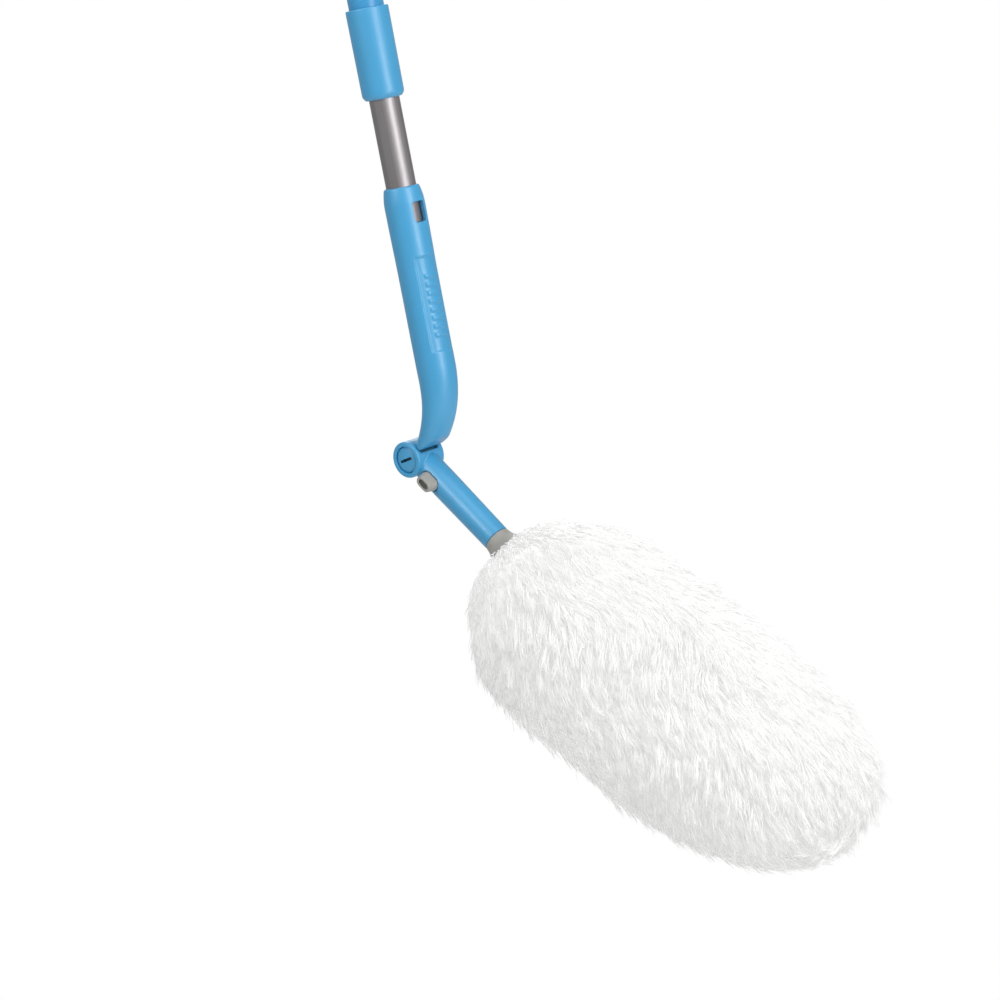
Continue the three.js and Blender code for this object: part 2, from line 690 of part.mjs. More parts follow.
const armGroup = new THREE.Group();
armGroup.position.copy(HINGE);
armGroup.rotation.y = -ARM_TILT;

armGroup.add(
  piece('arm', BLUE, arm()),
  piece('pivot_bolt', BLUE, pivotBolt()),
  piece('pivot_nut', BLUE, pivotNut()),
  piece('pivot_washer', STEEL, pivotWasher()),
  piece('lock_button', GREY, lockButton()),
  piece('lock_pawl', WHITE_PLASTIC, lockPawl()),
  piece('pawl_spring', STEEL, pawlSpring()),
  piece('spring_seat', WHITE_PLASTIC, springSeat()),
);

const head = new THREE.Group();
head.add(
  piece('head_collar', GREY, headCollar()),
  piece('core_rod', STEEL, coreRod()),
  piece('core_frame', WHITE_PLASTIC, coreFrame()),
  piece('core_tip_cap', GREY, coreTipCap()),
  piece('sleeve_hem', WHITE_FABRIC, sleeveHem()),
  piece('sleeve_backing', WHITE_FABRIC, sleeveBacking()),
  piece('fluff', WHITE_FABRIC, fluff()),
);
armGroup.add(head);

const duster = new THREE.Group();
duster.add(pole, lowerPole, armGroup);
export default duster;
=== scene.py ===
"""Looks of a telescopic feather duster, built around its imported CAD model.

Shapes are worked out in millimetres in the CAD frame (pole down -Z, hinge axis along Y, head
towards +X) and turned into metres when a piece is finished.
"""
import json
import math

import bpy
import numpy as np
from mathutils import Matrix, Vector


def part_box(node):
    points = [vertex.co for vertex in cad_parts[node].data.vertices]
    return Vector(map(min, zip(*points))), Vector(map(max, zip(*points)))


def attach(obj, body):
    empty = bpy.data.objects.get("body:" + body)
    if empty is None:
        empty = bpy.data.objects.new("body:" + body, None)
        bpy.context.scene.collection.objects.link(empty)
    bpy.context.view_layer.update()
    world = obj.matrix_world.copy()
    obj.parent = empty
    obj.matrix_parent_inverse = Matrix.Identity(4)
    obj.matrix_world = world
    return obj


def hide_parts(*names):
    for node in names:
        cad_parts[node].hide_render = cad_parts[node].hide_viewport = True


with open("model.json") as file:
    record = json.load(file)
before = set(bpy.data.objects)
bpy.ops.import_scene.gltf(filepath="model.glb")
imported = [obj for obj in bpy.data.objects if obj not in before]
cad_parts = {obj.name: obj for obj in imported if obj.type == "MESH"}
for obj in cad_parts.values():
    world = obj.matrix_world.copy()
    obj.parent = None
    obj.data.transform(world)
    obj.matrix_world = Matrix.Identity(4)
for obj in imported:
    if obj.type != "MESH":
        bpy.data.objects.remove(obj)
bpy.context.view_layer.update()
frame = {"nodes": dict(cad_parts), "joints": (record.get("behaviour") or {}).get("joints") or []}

MM = 0.001
SIDES = 96                      # facets round a smooth tube
rng = np.random.default_rng(20260)


# ------------ sizes, from the frame

def corners(node):
    """Lowest and highest corner of a CAD node, in millimetres."""
    low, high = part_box(node)
    return low / MM, high / MM


def radius_of(node):
    """Radius of a CAD node that is round about the pole, in millimetres."""
    low, high = corners(node)
    return (high.y - low.y) / 2


def ends(node):
    """Heights of a CAD node's lower and upper end, in millimetres."""
    return [corner.z for corner in corners(node)]


def joint(name):
    return next(j for j in frame["joints"] if j["name"] == name)


HINGE = Vector(joint("arm_tilt")["pos_m"]) / MM
ARM_DOWN = Vector(joint("head_pull")["axis"]).normalized()     # along the arm, to the head
ARM_TILT = math.atan2(ARM_DOWN.x, -ARM_DOWN.z)
ARM_FRAME = Matrix.Translation(HINGE) @ Matrix.Rotation(-ARM_TILT, 4, "Y")

GAP = 0.3                       # clearance between neighbouring pieces
WALL = 0.8                      # of both tubes
OUTER_R = radius_of("outer_tube")
INNER_R = radius_of("inner_tube")
COLLAR_R = radius_of("twist_collar")
GRIP_R = radius_of("pole_grip")
OUTER_END, OUTER_TOP = ends("outer_tube")
INNER_END, INNER_TOP = ends("inner_tube")
COLLAR_END, COLLAR_TOP = ends("twist_collar")
GRIP_END, GRIP_TOP = ends("pole_grip")
HANDLE_TOP = ends("neck_handle")[1]
HANDLE_R = 12.5

BARREL_R = 11.7                 # hinge barrel, seen from the side
BARREL_HALF = 11.9
EAR = 3.7                       # thickness of each ear of the arm
KNUCKLE_HALF = BARREL_HALF - EAR - GAP
KNUCKLE_R = 9
WEB_R = KNUCKLE_R + GAP
NOTCHES = 4                     # for the pawl, round the knuckle
CAP_R = 8.4
CAP_FACE = BARREL_HALF - 0.5
CAP_SEAT = BARREL_HALF - 2.2    # floor of the ears' round pocket for a cap
CAP_INNER = CAP_SEAT + GAP
BOLT_R = 4.5
SLOT_TURN = math.radians(32)    # of the slot across the pivot bolt's cap
SLOT_LONG = 10.4
SLOT_WIDE = 1.8

ARM_END = -77.5                 # from here on, in the arm's own frame
ARM_R = 9.4
ARM_END_R = 8.9
ARM_BORE_R = 7.2
BUTTON_Z = -20.7
BUTTON_LONG = 14.4              # where it leaves the arm; it tapers to its face
BUTTON_WIDE = 7.6
BUTTON_FACE_Z = -21.4
BUTTON_FACE_LONG = 11.8
BUTTON_FACE_WIDE = 6.8
DISH_LONG = 8
DISH_WIDE = 3.8
BUTTON_FACE_Y = corners("lock_button")[0].y
BUTTON_INNER_Y = -5.2

LIP_Z = -89.5                   # rim of the grey collar
HEAD_LENGTH = 293
HEAD_R = 69.5
HEAD_BEND = math.radians(18.3)
BEND_R = HEAD_LENGTH / HEAD_BEND


# ------------ mesh helpers

def scene_object(name, data):
    thing = bpy.data.objects.new(name, data)
    bpy.context.scene.collection.objects.link(thing)
    return thing


def mesh_object(name, points, faces):
    mesh = bpy.data.meshes.new(name)
    mesh.from_pydata([tuple(p) for p in points], [], faces)
    mesh.validate()
    mesh.update()
    return scene_object(name, mesh)


def applied(thing):
    """Replaces a piece's mesh with what its modifiers make of it."""
    depsgraph = bpy.context.evaluated_depsgraph_get()
    made = bpy.data.meshes.new_from_object(thing.evaluated_get(depsgraph), depsgraph=depsgraph)
    thing.modifiers.clear()
    old = thing.data
    thing.data = made
    bpy.data.meshes.remove(old)
    return thing


def boolean(thing, tool, operation):
    modifier = thing.modifiers.new(operation, "BOOLEAN")
    modifier.operation = operation
    modifier.solver = "MANIFOLD"
    modifier.object = tool
    applied(thing)
    bpy.data.objects.remove(tool)
    return thing


def add(thing, *tools):
    for tool in tools:
        boolean(thing, tool, "UNION")
    return thing


def cut(thing, *tools):
    for tool in tools:
        boolean(thing, tool, "DIFFERENCE")
    return thing


def moved(thing, matrix):
    thing.data.transform(matrix)
    return thing


def moulded(thing, voxel, smoothing=3):
    """Rounds every edge a little, as a moulded part has it."""
    remesh = thing.modifiers.new("voxels", "REMESH")
    remesh.mode = "VOXEL"
    remesh.voxel_size = voxel
    smooth = thing.modifiers.new("smooth", "SMOOTH")
    smooth.factor = 0.5
    smooth.iterations = smoothing
    return applied(thing)


def fillet(points, radii, steps=6):
    """A profile of (r, z) points with rounded corners: radii maps a point's index to a radius."""
    out = []
    for i, point in enumerate(points):
        here = np.array(point, float)
        radius = radii.get(i, 0)
        if not radius or i in (0, len(points) - 1):
            out.append(tuple(here))
            continue
        before = np.array(points[i - 1], float) - here
        after = np.array(points[i + 1], float) - here
        reach = min(radius, 0.48 * np.linalg.norm(before), 0.48 * np.linalg.norm(after))
        start = here + before / np.linalg.norm(before) * reach
        end = here + after / np.linalg.norm(after) * reach
        for k in range(steps + 1):
            t = k / steps
            curve = (1 - t) ** 2 * start + 2 * t * (1 - t) * here + t * t * end
            out.append(tuple(curve))
    return out


def lathe(name, profile, sides=SIDES, matrix=None):
    """A body of revolution about Z. The profile of (r, z) starts and ends on the axis, or is a
    closed loop whose last point joins its first."""
    on_axis = profile[0][0] == 0
    rings = profile[1:-1] if on_axis else profile
    angles = np.arange(sides) * 2 * math.pi / sides
    points = [(r * math.cos(a), r * math.sin(a), z) for r, z in rings for a in angles]
    faces = []
    count = len(rings)
    for i in range(count - 1 if on_axis else count):
        this, after = i * sides, (i + 1) % count * sides
        for k in range(sides):
            n = (k + 1) % sides
            faces.append((this + k, this + n, after + n, after + k))
    if on_axis:
        first, last = len(points), len(points) + 1
        points += [(0, 0, profile[0][1]), (0, 0, profile[-1][1])]
        bottom = (count - 1) * sides
        faces += [(first, (k + 1) % sides, k) for k in range(sides)]
        faces += [(last, bottom + k, bottom + (k + 1) % sides) for k in range(sides)]
    thing = face_out(mesh_object(name, points, faces))
    return moved(thing, matrix) if matrix else thing


def points_of(thing):
    co = np.empty(len(thing.data.vertices) * 3, np.float32)
    thing.data.vertices.foreach_get("co", co)
    return co.reshape(-1, 3)


def face_out(thing):
    """Turns a closed mesh's faces outwards, and gives it back."""
    mesh = thing.data
    mesh.calc_loop_triangles()
    triangles = np.empty(len(mesh.loop_triangles) * 3, int)
    mesh.loop_triangles.foreach_get("vertices", triangles)
    a, b, c = points_of(thing)[triangles.reshape(-1, 3)].transpose(1, 0, 2)
    if np.einsum("ij,ij->i", a, np.cross(b, c)).sum() < 0:
        mesh.flip_normals()
    return thing


def loft(name, points, sides):
    """A closed form through rings of points, one ring after the other."""
    rings = len(points) // sides
    faces = [tuple(range(sides)), tuple(reversed(range((rings - 1) * sides, rings * sides)))]
    for i in range(rings - 1):
        for k in range(sides):
            n = (k + 1) % sides
            faces.append((i * sides + k, (i + 1) * sides + k, (i + 1) * sides + n, i * sides + n))
    return face_out(mesh_object(name, points, faces))


def rod(radius, low, high, sides=SIDES, matrix=None):
    return lathe("tool", [(0, low), (radius, low), (radius, high), (0, high)], sides, matrix)


ALONG_Y = Matrix.Rotation(-math.pi / 2, 4, "X")      # turns +Z to +Y
ALONG_X = Matrix(((0, 0, 1, 0), (1, 0, 0, 0), (0, 1, 0, 0), (0, 0, 0, 1)))      # turns +Z to +X


def extruded(outline, low, high, matrix=None):
    """A prism whose outline of (x, y) points is drawn in the XY plane, between two heights."""
    count = len(outline)
    points = [(x, y, z) for z in (low, high) for x, y in outline]
    faces = [tuple(reversed(range(count))), tuple(range(count, 2 * count))]
    faces += [(i, (i + 1) % count, count + (i + 1) % count, count + i) for i in range(count)]
    thing = face_out(mesh_object("tool", points, faces))
    return moved(thing, matrix) if matrix else thing


def arc(cx, cy, radius, start, end, steps):
    """Points on an arc, with its angles in degrees."""
    angles = [math.radians(start + (end - start) * k / steps) for k in range(steps + 1)]
    return [(cx + radius * math.cos(a), cy + radius * math.sin(a)) for a in angles]


def sector(radius, start, end, half):
    """A wedge of a disc about Y, with angles in degrees from +X towards +Z."""
    outline = [(0, 0)] + arc(0, 0, radius, start, end, 40)
    return extruded(outline, -half, half, Matrix.Rotation(math.pi / 2, 4, "X"))


def block(low, high, matrix=None):
    outline = [(low[0], low[1]), (high[0], low[1]), (high[0], high[1]), (low[0], high[1])]
    return extruded(outline, low[2], high[2], matrix)


def slot_outline(length, width):
    r = width / 2
    half = length / 2 - r
    return arc(0, half, r, 0, 180, 24) + arc(0, -half, r, 180, 360, 24)


def tapered_obround(sections):
    """A slot-shaped bar along Y through sections of (y, length along Z, width, centre z)."""
    points = []
    for y, length, width, centre_z in sections:
        points += [(px, y, centre_z + pz) for px, pz in slot_outline(length, width)]
    return loft("tool", points, len(points) // len(sections))


def obround(length, width, low_y, high_y, centre_z):
    """The same, with straight sides."""
    return tapered_obround([(y, length, width, centre_z) for y in (low_y, high_y)])


def bar_across(outline, half):
    """A bar across X whose outline of (y, z) points is drawn in the YZ plane."""
    return extruded(outline, -half, half, ALONG_X)


def keep_value(mesh, name, values):
    """Stores a number for each of a mesh's points, which its material reads."""
    layer = mesh.attributes.new(name, "FLOAT", "POINT")
    layer.data.foreach_set("value", np.asarray(values, np.float32))


def smoothstep(edge0, edge1, x):
    t = np.clip((x - edge0) / (edge1 - edge0), 0, 1)
    return t * t * (3 - 2 * t)


def finished(thing, name, body, material, replaced=(), smooth_below=math.radians(40)):
    """Names a piece, turns it into metres and parents it to its body, hiding the CAD nodes it
    replaces. Edges flatter than an angle are shaded smooth, or none of them."""
    thing.name = name
    thing.data.name = name
    moved(thing, Matrix.Scale(MM, 4))
    thing.data.materials.clear()
    thing.data.materials.append(material)
    if smooth_below:
        thing.data.shade_smooth()
        thing.data.set_sharp_from_angle(angle=smooth_below)
    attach(thing, body)
    if replaced:
        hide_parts(*replaced)


# ------------ materials

class Look:
    """A node material with one Principled shader; its methods add the procedural detail."""

    def __init__(self, name, roughness, metallic=0.0):
        self.material = bpy.data.materials.new(name)
        self.material.use_nodes = True
        self.nodes = self.material.node_tree.nodes
        self.links = self.material.node_tree.links
        self.shader = self.nodes["Principled BSDF"]
        self.set_values({"Roughness": roughness, "Metallic": metallic})
        self.place = self.nodes.new("ShaderNodeTexCoord").outputs["Object"]

    def set_values(self, values):
        for name, value in values.items():
            self.shader.inputs[name].default_value = value

    def scaled(self, scale):
        """Object coordinates, in metres, stretched by a scale along X, Y and Z."""
        node = self.nodes.new("ShaderNodeMapping")
        node.inputs["Scale"].default_value = scale
        self.links.new(self.place, node.inputs["Vector"])
        return node.outputs["Vector"]

    def noise(self, scale, detail=3.0, roughness=0.55, distortion=0.0):
        node = self.nodes.new("ShaderNodeTexNoise")
        node.inputs["Scale"].default_value = 1.0
        node.inputs["Detail"].default_value = detail
        node.inputs["Roughness"].default_value = roughness
        node.inputs["Distortion"].default_value = distortion
        scale = scale if isinstance(scale, tuple) else (scale,) * 3
        self.links.new(self.scaled(scale), node.inputs["Vector"])
        return node.outputs["Fac"]

    def stored(self, name):
        """A value kept on the mesh."""
        node = self.nodes.new("ShaderNodeAttribute")
        node.attribute_name = name
        return node.outputs["Fac"]

    def ramp(self, value, low, high, at=(0.3, 0.7)):
        """Maps a value to a range of greys, or of colours."""
        node = self.nodes.new("ShaderNodeValToRGB")
        for element, position, colour in zip(node.color_ramp.elements, at, (low, high)):
            element.position = position
            colour = colour if isinstance(colour, tuple) else (colour,) * 3
            element.color = (*colour, 1)
        self.links.new(value, node.inputs["Fac"])
        return node.outputs["Color"]

    def mixed(self, share, first, second, kind="MIX"):
        node = self.nodes.new("ShaderNodeMix")
        node.data_type = "RGBA"
        node.blend_type = kind
        for socket, value in ((node.inputs[0], share), (node.inputs[6], first),
                              (node.inputs[7], second)):
            if isinstance(value, bpy.types.NodeSocket):
                self.links.new(value, socket)
            elif isinstance(value, tuple):
                socket.default_value = (*value, 1)
            else:
                socket.default_value = value
        return node.outputs[2]

    def set_colour(self, colour):
        self.links.new(colour, self.shader.inputs["Base Color"])

    def set_roughness(self, grey):
        self.links.new(grey, self.shader.inputs["Roughness"])

    def bump(self, height, distance, strength=1.0):
        node = self.nodes.new("ShaderNodeBump")
        node.inputs["Strength"].default_value = strength
        node.inputs["Distance"].default_value = distance
        self.links.new(height, node.inputs["Height"])
        if self.shader.inputs["Normal"].is_linked:
            below = self.shader.inputs["Normal"].links[0].from_socket
            self.links.new(below, node.inputs["Normal"])
        self.links.new(node.outputs["Normal"], self.shader.inputs["Normal"])

    def worn_edges(self, colour, lighter, share):
        """Lightens the convex edges a little, as handling does."""
        geometry = self.nodes.new("ShaderNodeNewGeometry")
        edge = self.ramp(geometry.outputs["Pointiness"], 0.0, share, at=(0.52, 0.6))
        patches = self.ramp(self.noise(70.0, 4.0), 0.4, 1.0, at=(0.4, 0.65))
        return self.mixed(self.mixed(1.0, edge, patches, "MULTIPLY"), colour, lighter)


def toned(colour, factor):
    """A colour made lighter or darker."""
    return tuple(min(1.0, c * factor) for c in colour)


def plastic(name, colour, roughness=0.4, grain=0.00004, coat=0.0):
    """Moulded plastic: slow flow marks in the colour, a fine spark-eroded grain, worn edges and
    painted shade in hollows.
    """
    look = Look(name, roughness)
    flow = look.noise((9.0, 9.0, 4.0), 4.0, 0.6, 0.8)
    tint = look.ramp(flow, toned(colour, 0.94), toned(colour, 1.05))
    fleck = look.ramp(look.noise(1400.0, 2.0), 0.97, 1.0)
    body = look.mixed(1.0, tint, fleck, "MULTIPLY")
    worn = look.worn_edges(body, toned(colour, 1.5), 0.35)
    # Painted shade: the colour darkens towards 0.3 of the plastic's by the stored shade value, in
    # the bolt's slot, the button's dish, the seam under the neck and the hinge's knuckle.
    look.set_colour(look.mixed(look.stored("painted_shade"), worn, toned(colour, 0.3)))
    smears = look.noise((38.0, 38.0, 16.0), 5.0, 0.65, 0.5)
    look.set_roughness(look.ramp(smears, roughness - 0.05, roughness + 0.09))
    look.bump(look.noise(1100.0, 3.0, 0.6), grain, 0.5)
    look.bump(look.noise(120.0, 2.0), grain * 3, 0.12)
    look.set_values({"Coat Weight": coat, "Coat Roughness": 0.3, "Specular IOR Level": 0.5 + coat})
    return look.material


def drawn_metal(name, colour, roughness=0.3):
    """Bright drawn tube: fine lines along the pole, faint stains and hairline scratches."""
    look = Look(name, roughness, metallic=1.0)
    lines = look.noise((1500.0, 1500.0, 7.0), 4.0, 0.7)
    broad = look.noise((230.0, 230.0, 3.0), 3.0, 0.5)
    tone = look.ramp(lines, toned(colour, 0.86), toned(colour, 1.1))
    stain = look.ramp(look.noise((40.0, 40.0, 22.0), 5.0, 0.6, 1.2), 0.9, 1.0)
    look.set_colour(look.mixed(1.0, tone, stain, "MULTIPLY"))
    rough = look.mixed(0.5, look.ramp(lines, roughness - 0.08, roughness + 0.12),
                       look.ramp(broad, roughness - 0.06, roughness + 0.1))
    look.set_roughness(rough)
    look.bump(lines, 0.00002, 0.5)
    look.set_values({"Anisotropic": 0.45})
    return look.material


def painted_tube(name, colour):
    """Powder-coated tube: smooth, with a faint orange peel and rubbed patches."""
    look = Look(name, 0.34)
    tint = look.ramp(look.noise((30.0, 30.0, 5.0), 4.0), toned(colour, 0.95), toned(colour, 1.05))
    look.set_colour(tint)
    rubbed = look.noise((70.0, 70.0, 12.0), 5.0, 0.7, 0.6)
    look.set_roughness(look.ramp(rubbed, 0.27, 0.42))
    look.bump(look.noise(600.0, 2.0, 0.4), 0.00004, 0.3)
    look.set_values({"Coat Weight": 0.15, "Coat Roughness": 0.2})
    return look.material


PILE_GLOW = 0.25                # stands for light passed on from strand to strand


def pile_fibre(name, root, tip):
    """Microfibre strand: greyer at its root, each strand with a slightly different white."""
    look = Look(name, 0.9)
    along = look.ramp(look.stored("strand_along"), root, tip, at=(0.0, 0.5))
    tint = look.ramp(look.stored("strand_tint"), (0.96, 0.96, 0.955), (1.0, 1.0, 1.0), at=(0, 1))
    look.set_colour(look.mixed(1.0, along, tint, "MULTIPLY"))
    look.set_values({
        "Sheen Weight": 0.25, "Sheen Roughness": 0.5, "Specular IOR Level": 0.2,
        "Emission Color": (1, 1, 1, 1), "Emission Strength": PILE_GLOW,
    })
    return look.material


def cloth(name, colour, pitch):
    """Woven backing cloth: crossed threads with fine fuzz."""
    look = Look(name, 0.9)
    wave = []
    for direction in ("X", "Z"):
        node = look.nodes.new("ShaderNodeTexWave")
        node.bands_direction = direction
        node.inputs["Scale"].default_value = 1.0
        node.inputs["Distortion"].default_value = 0.6
        look.links.new(look.scaled((0.3 / pitch,) * 3), node.inputs["Vector"])
        wave.append(node.outputs["Color"])
    weave = look.mixed(0.5, wave[0], wave[1])
    look.set_colour(look.ramp(weave, toned(colour, 0.8), colour))
    look.set_roughness(look.ramp(look.noise(300.0), 0.82, 0.97))
    look.bump(weave, 0.0003, 0.6)
    look.set_values({"Sheen Weight": 0.3})
    return look.material


BLUE = (0.04, 0.325, 0.6)
BLUE_PLASTIC = plastic("blue_plastic", BLUE, 0.42, coat=0.3)
BLUE_PAINT = painted_tube("blue_paint", (0.042, 0.29, 0.56))
GREY_PLASTIC = plastic("grey_plastic", (0.35, 0.345, 0.32), 0.45)
WHITE_PLASTIC = plastic("white_plastic", (0.74, 0.74, 0.71), 0.42)
STEEL = drawn_metal("drawn_steel", (0.37, 0.35, 0.36), 0.42)
PILE = pile_fibre("white_pile", (0.77, 0.77, 0.76), (0.8, 0.8, 0.795))
CLOTH = cloth("backing_cloth", (0.86, 0.86, 0.84), 0.0012)


# ------------ pole

def tube(radius, low, high):
    inside = radius - WALL
    return lathe("tube", [(inside, low), (radius, low), (radius, high), (inside, high)])


def outer_tube():
    thing = tube(OUTER_R, OUTER_END, OUTER_TOP)
    finished(thing, "painted_outer_tube", "pole", BLUE_PAINT, ["outer_tube"])


def inner_tube():
    thing = tube(INNER_R, INNER_END, INNER_TOP)
    finished(thing, "bare_inner_tube", "lower", STEEL, ["inner_tube"])


def twist_collar():
    bore = OUTER_R + GAP
    corner = {1: 0.45, 2: 1.1, 3: 1.0, 4: 2.4, 5: 1.2, 6: 0.4, 7: 0.3}
    outside = [
        (bore, COLLAR_TOP - 0.2), (bore + 0.15, COLLAR_TOP), (COLLAR_R - 0.05, COLLAR_TOP),
        (COLLAR_R, COLLAR_TOP - 3), (COLLAR_R - 0.25, COLLAR_END + 2.4),
        (COLLAR_R - 2.2, COLLAR_END), (INNER_R + 0.4, COLLAR_END),
        (INNER_R + 0.4, COLLAR_END + 3.4), (11, COLLAR_END + 4.6),
        (12.4, OUTER_END - 13), (12.4, OUTER_END + 13), (bore, OUTER_END + 14),
    ]
    thing = lathe("collar", fillet(outside, corner))
    finished(thing, "rounded_twist_collar", "collar", BLUE_PLASTIC, ["twist_collar"])


def pole_grip():
    """Soft grip with shallow rings for the fingers."""
    outline = [(OUTER_R + GAP, GRIP_END), (GRIP_R - 1.2, GRIP_END), (GRIP_R, GRIP_END + 6)]
    rounds = {1: 1.0, 2: 2.0}
    rings = 5
    step = (GRIP_TOP - GRIP_END - 16) / rings
    for i in range(rings):
        z = GRIP_END + 6 + i * step
        for dr, dz in ((0, step - 4), (-0.9, step - 2), (0, step)):
            outline.append((GRIP_R + dr, z + dz))
            rounds[len(outline) - 1] = 1.6
    outline += [(GRIP_R, GRIP_TOP - 2), (GRIP_R - 1.5, GRIP_TOP), (OUTER_R + GAP, GRIP_TOP)]
    rounds[len(outline) - 3] = 1.5
    rounds[len(outline) - 2] = 0.8
    thing = lathe("grip", fillet(outline, rounds))
    finished(thing, "ringed_pole_grip", "pole", BLUE_PLASTIC, ["pole_grip"])


def hanger_cap():
    """Hanging tab on a round flange, with a plug down the tube."""
    outline = [(-9.9, -16), (9.9, -16)] + arc(0, 3, 9.9, 0, 180, 40)
    upright = Matrix.Rotation(math.pi / 2, 4, "X")
    tab = extruded(outline, -4.3, 4.3, upright)
    flange = lathe("flange", [
        (0, -17.7), (12.2, -17.7), (13, -16.5), (12.4, -13.4), (10.4, -11.4), (0, -9.5),
    ])
    plug = lathe("plug", [(0, -44), (9.2, -44), (9.8, -42), (9.8, -17.5), (0, -17.5)])
    thing = cut(add(tab, flange, plug), rod(3.9, -10, 10, 48, ALONG_Y))
    moulded(thing, 0.35, 4)
    finished(thing, "moulded_hanger_cap", "pole", GREY_PLASTIC, ["hanger_cap"])


# ------------ neck

NECK_STRAIGHT_END = HINGE.z + 56
BEND_POINTS = np.array([
    (0, NECK_STRAIGHT_END), (0, HINGE.z + 34), (-6, HINGE.z + 20), (-22.5, HINGE.z + 2),
])
PANEL_TOP = HANDLE_TOP - 44
PANEL_END = HANDLE_TOP - 104.3
PANEL_HALF = 47                 # half the panel's width, in degrees round the handle
PANEL_DEPTH = 0.95
RIB_COUNT = 8
RIB_RISE = 0.75
RIB_MARGIN = 9                  # from the panel's ends to the first and last rib
WINDOW_DOWN = 16.7              # from the neck's rim to the middle of its window
SEAM_TURN = 24                  # where the neck's underside starts, in degrees round the hinge
SEAM_INNER_TURN = 28            # the same, inside the arm's web


def bend_ring(t):
    """Centre, tilt and half widths of the neck's bend, from its straight part to the hinge."""
    u = 1 - t
    weights = np.array([u ** 3, 3 * u * u * t, 3 * u * t * t, t ** 3])
    slopes = np.array([-3 * u * u, 3 * u * u - 6 * u * t, 6 * u * t - 3 * t * t, 3 * t * t])
    centre = weights @ BEND_POINTS
    heading = slopes @ BEND_POINTS
    tilt = math.atan2(-heading[0], -heading[1])
    narrow = t ** 1.3
    half_x = HANDLE_R - 0.1 + (6.6 - HANDLE_R + 0.1) * narrow
    half_y = HANDLE_R - 0.1 + (10.2 - HANDLE_R + 0.1) * narrow
    return centre, tilt, half_x, half_y


def handle_radius(z):
    """Outline of the neck's straight part: a rounded rim, then almost straight."""
    depth = HANDLE_TOP - z
    bevel = 1.7 * (1 - np.clip(depth / 11, 0, 1)) ** 1.6
    lip = 0.7 * (1 - np.clip(depth / 1.2, 0, 1)) ** 2
    slow = 0.35 * smoothstep(12, 60, depth)
    return HANDLE_R + 0.25 - slow - bevel - lip


def thumb_panel(angle, z):
    """How far the surface is pushed in or out at an angle in degrees and a height."""
    edge = 0.35
    across = 1 - smoothstep(PANEL_HALF - 2.2, PANEL_HALF, np.abs(angle))
    above = smoothstep(PANEL_END, PANEL_END + edge, z)
    below = 1 - smoothstep(PANEL_TOP - edge, PANEL_TOP, z)
    push = -PANEL_DEPTH * across * (above * below)
    low, high = PANEL_END + RIB_MARGIN, PANEL_TOP - RIB_MARGIN
    step = (high - low) / RIB_COUNT
    wide = 1 - smoothstep(24, 28, np.abs(angle))
    for i in range(RIB_COUNT):
        foot = low + i * step
        rise = smoothstep(foot, foot + 0.9, z) * (1 - smoothstep(foot + 2.6, foot + 3.5, z))
        push += RIB_RISE * rise * wide
    return push


def neck_shell():
    """The neck's outside: one closed loft, with the thumb panel pressed into it."""
    sides = 144
    angles = np.arange(sides) * 2 * math.pi / sides
    degrees = np.degrees((angles + math.pi) % (2 * math.pi) - math.pi)
    heights = np.concatenate([
        HANDLE_TOP - 11 * np.linspace(0, 1, 22) ** 1.7,
        np.arange(HANDLE_TOP - 12, PANEL_TOP + 1, -1.5),
        np.arange(PANEL_TOP + 0.7, PANEL_END - 0.7, -0.35),
        np.arange(PANEL_END - 1.5, NECK_STRAIGHT_END + 0.5, -1.5),
    ])
    rings = []
    for z in heights:
        r = handle_radius(z) + thumb_panel(degrees, z)
        rings.append(np.stack([r * np.cos(angles), r * np.sin(angles), np.full(sides, z)], 1))
    for t in np.linspace(0, 1, 44):
        (x, z), tilt, half_x, half_y = bend_ring(t)
        flat = half_x * np.cos(angles)
        rings.append(np.stack([
            x + flat * math.cos(tilt), half_y * np.sin(angles), z - flat * math.sin(tilt),
        ], 1))
    return loft("neck", np.concatenate(rings), sides)


def window_tool():
    """Rounded opening in the neck's front, just below the rim."""
    w, h, r = 4.8, 6.4, 1.8
    outline = (arc(w - r, h - r, r, 0, 90, 8) + arc(-w + r, h - r, r, 90, 180, 8)
               + arc(-w + r, -h + r, r, 180, 270, 8) + arc(w - r, -h + r, r, 270, 360, 8))
    place = Matrix.Translation((0, 0, HANDLE_TOP - WINDOW_DOWN)) @ ALONG_X
    return extruded(outline, 0, 20, place)


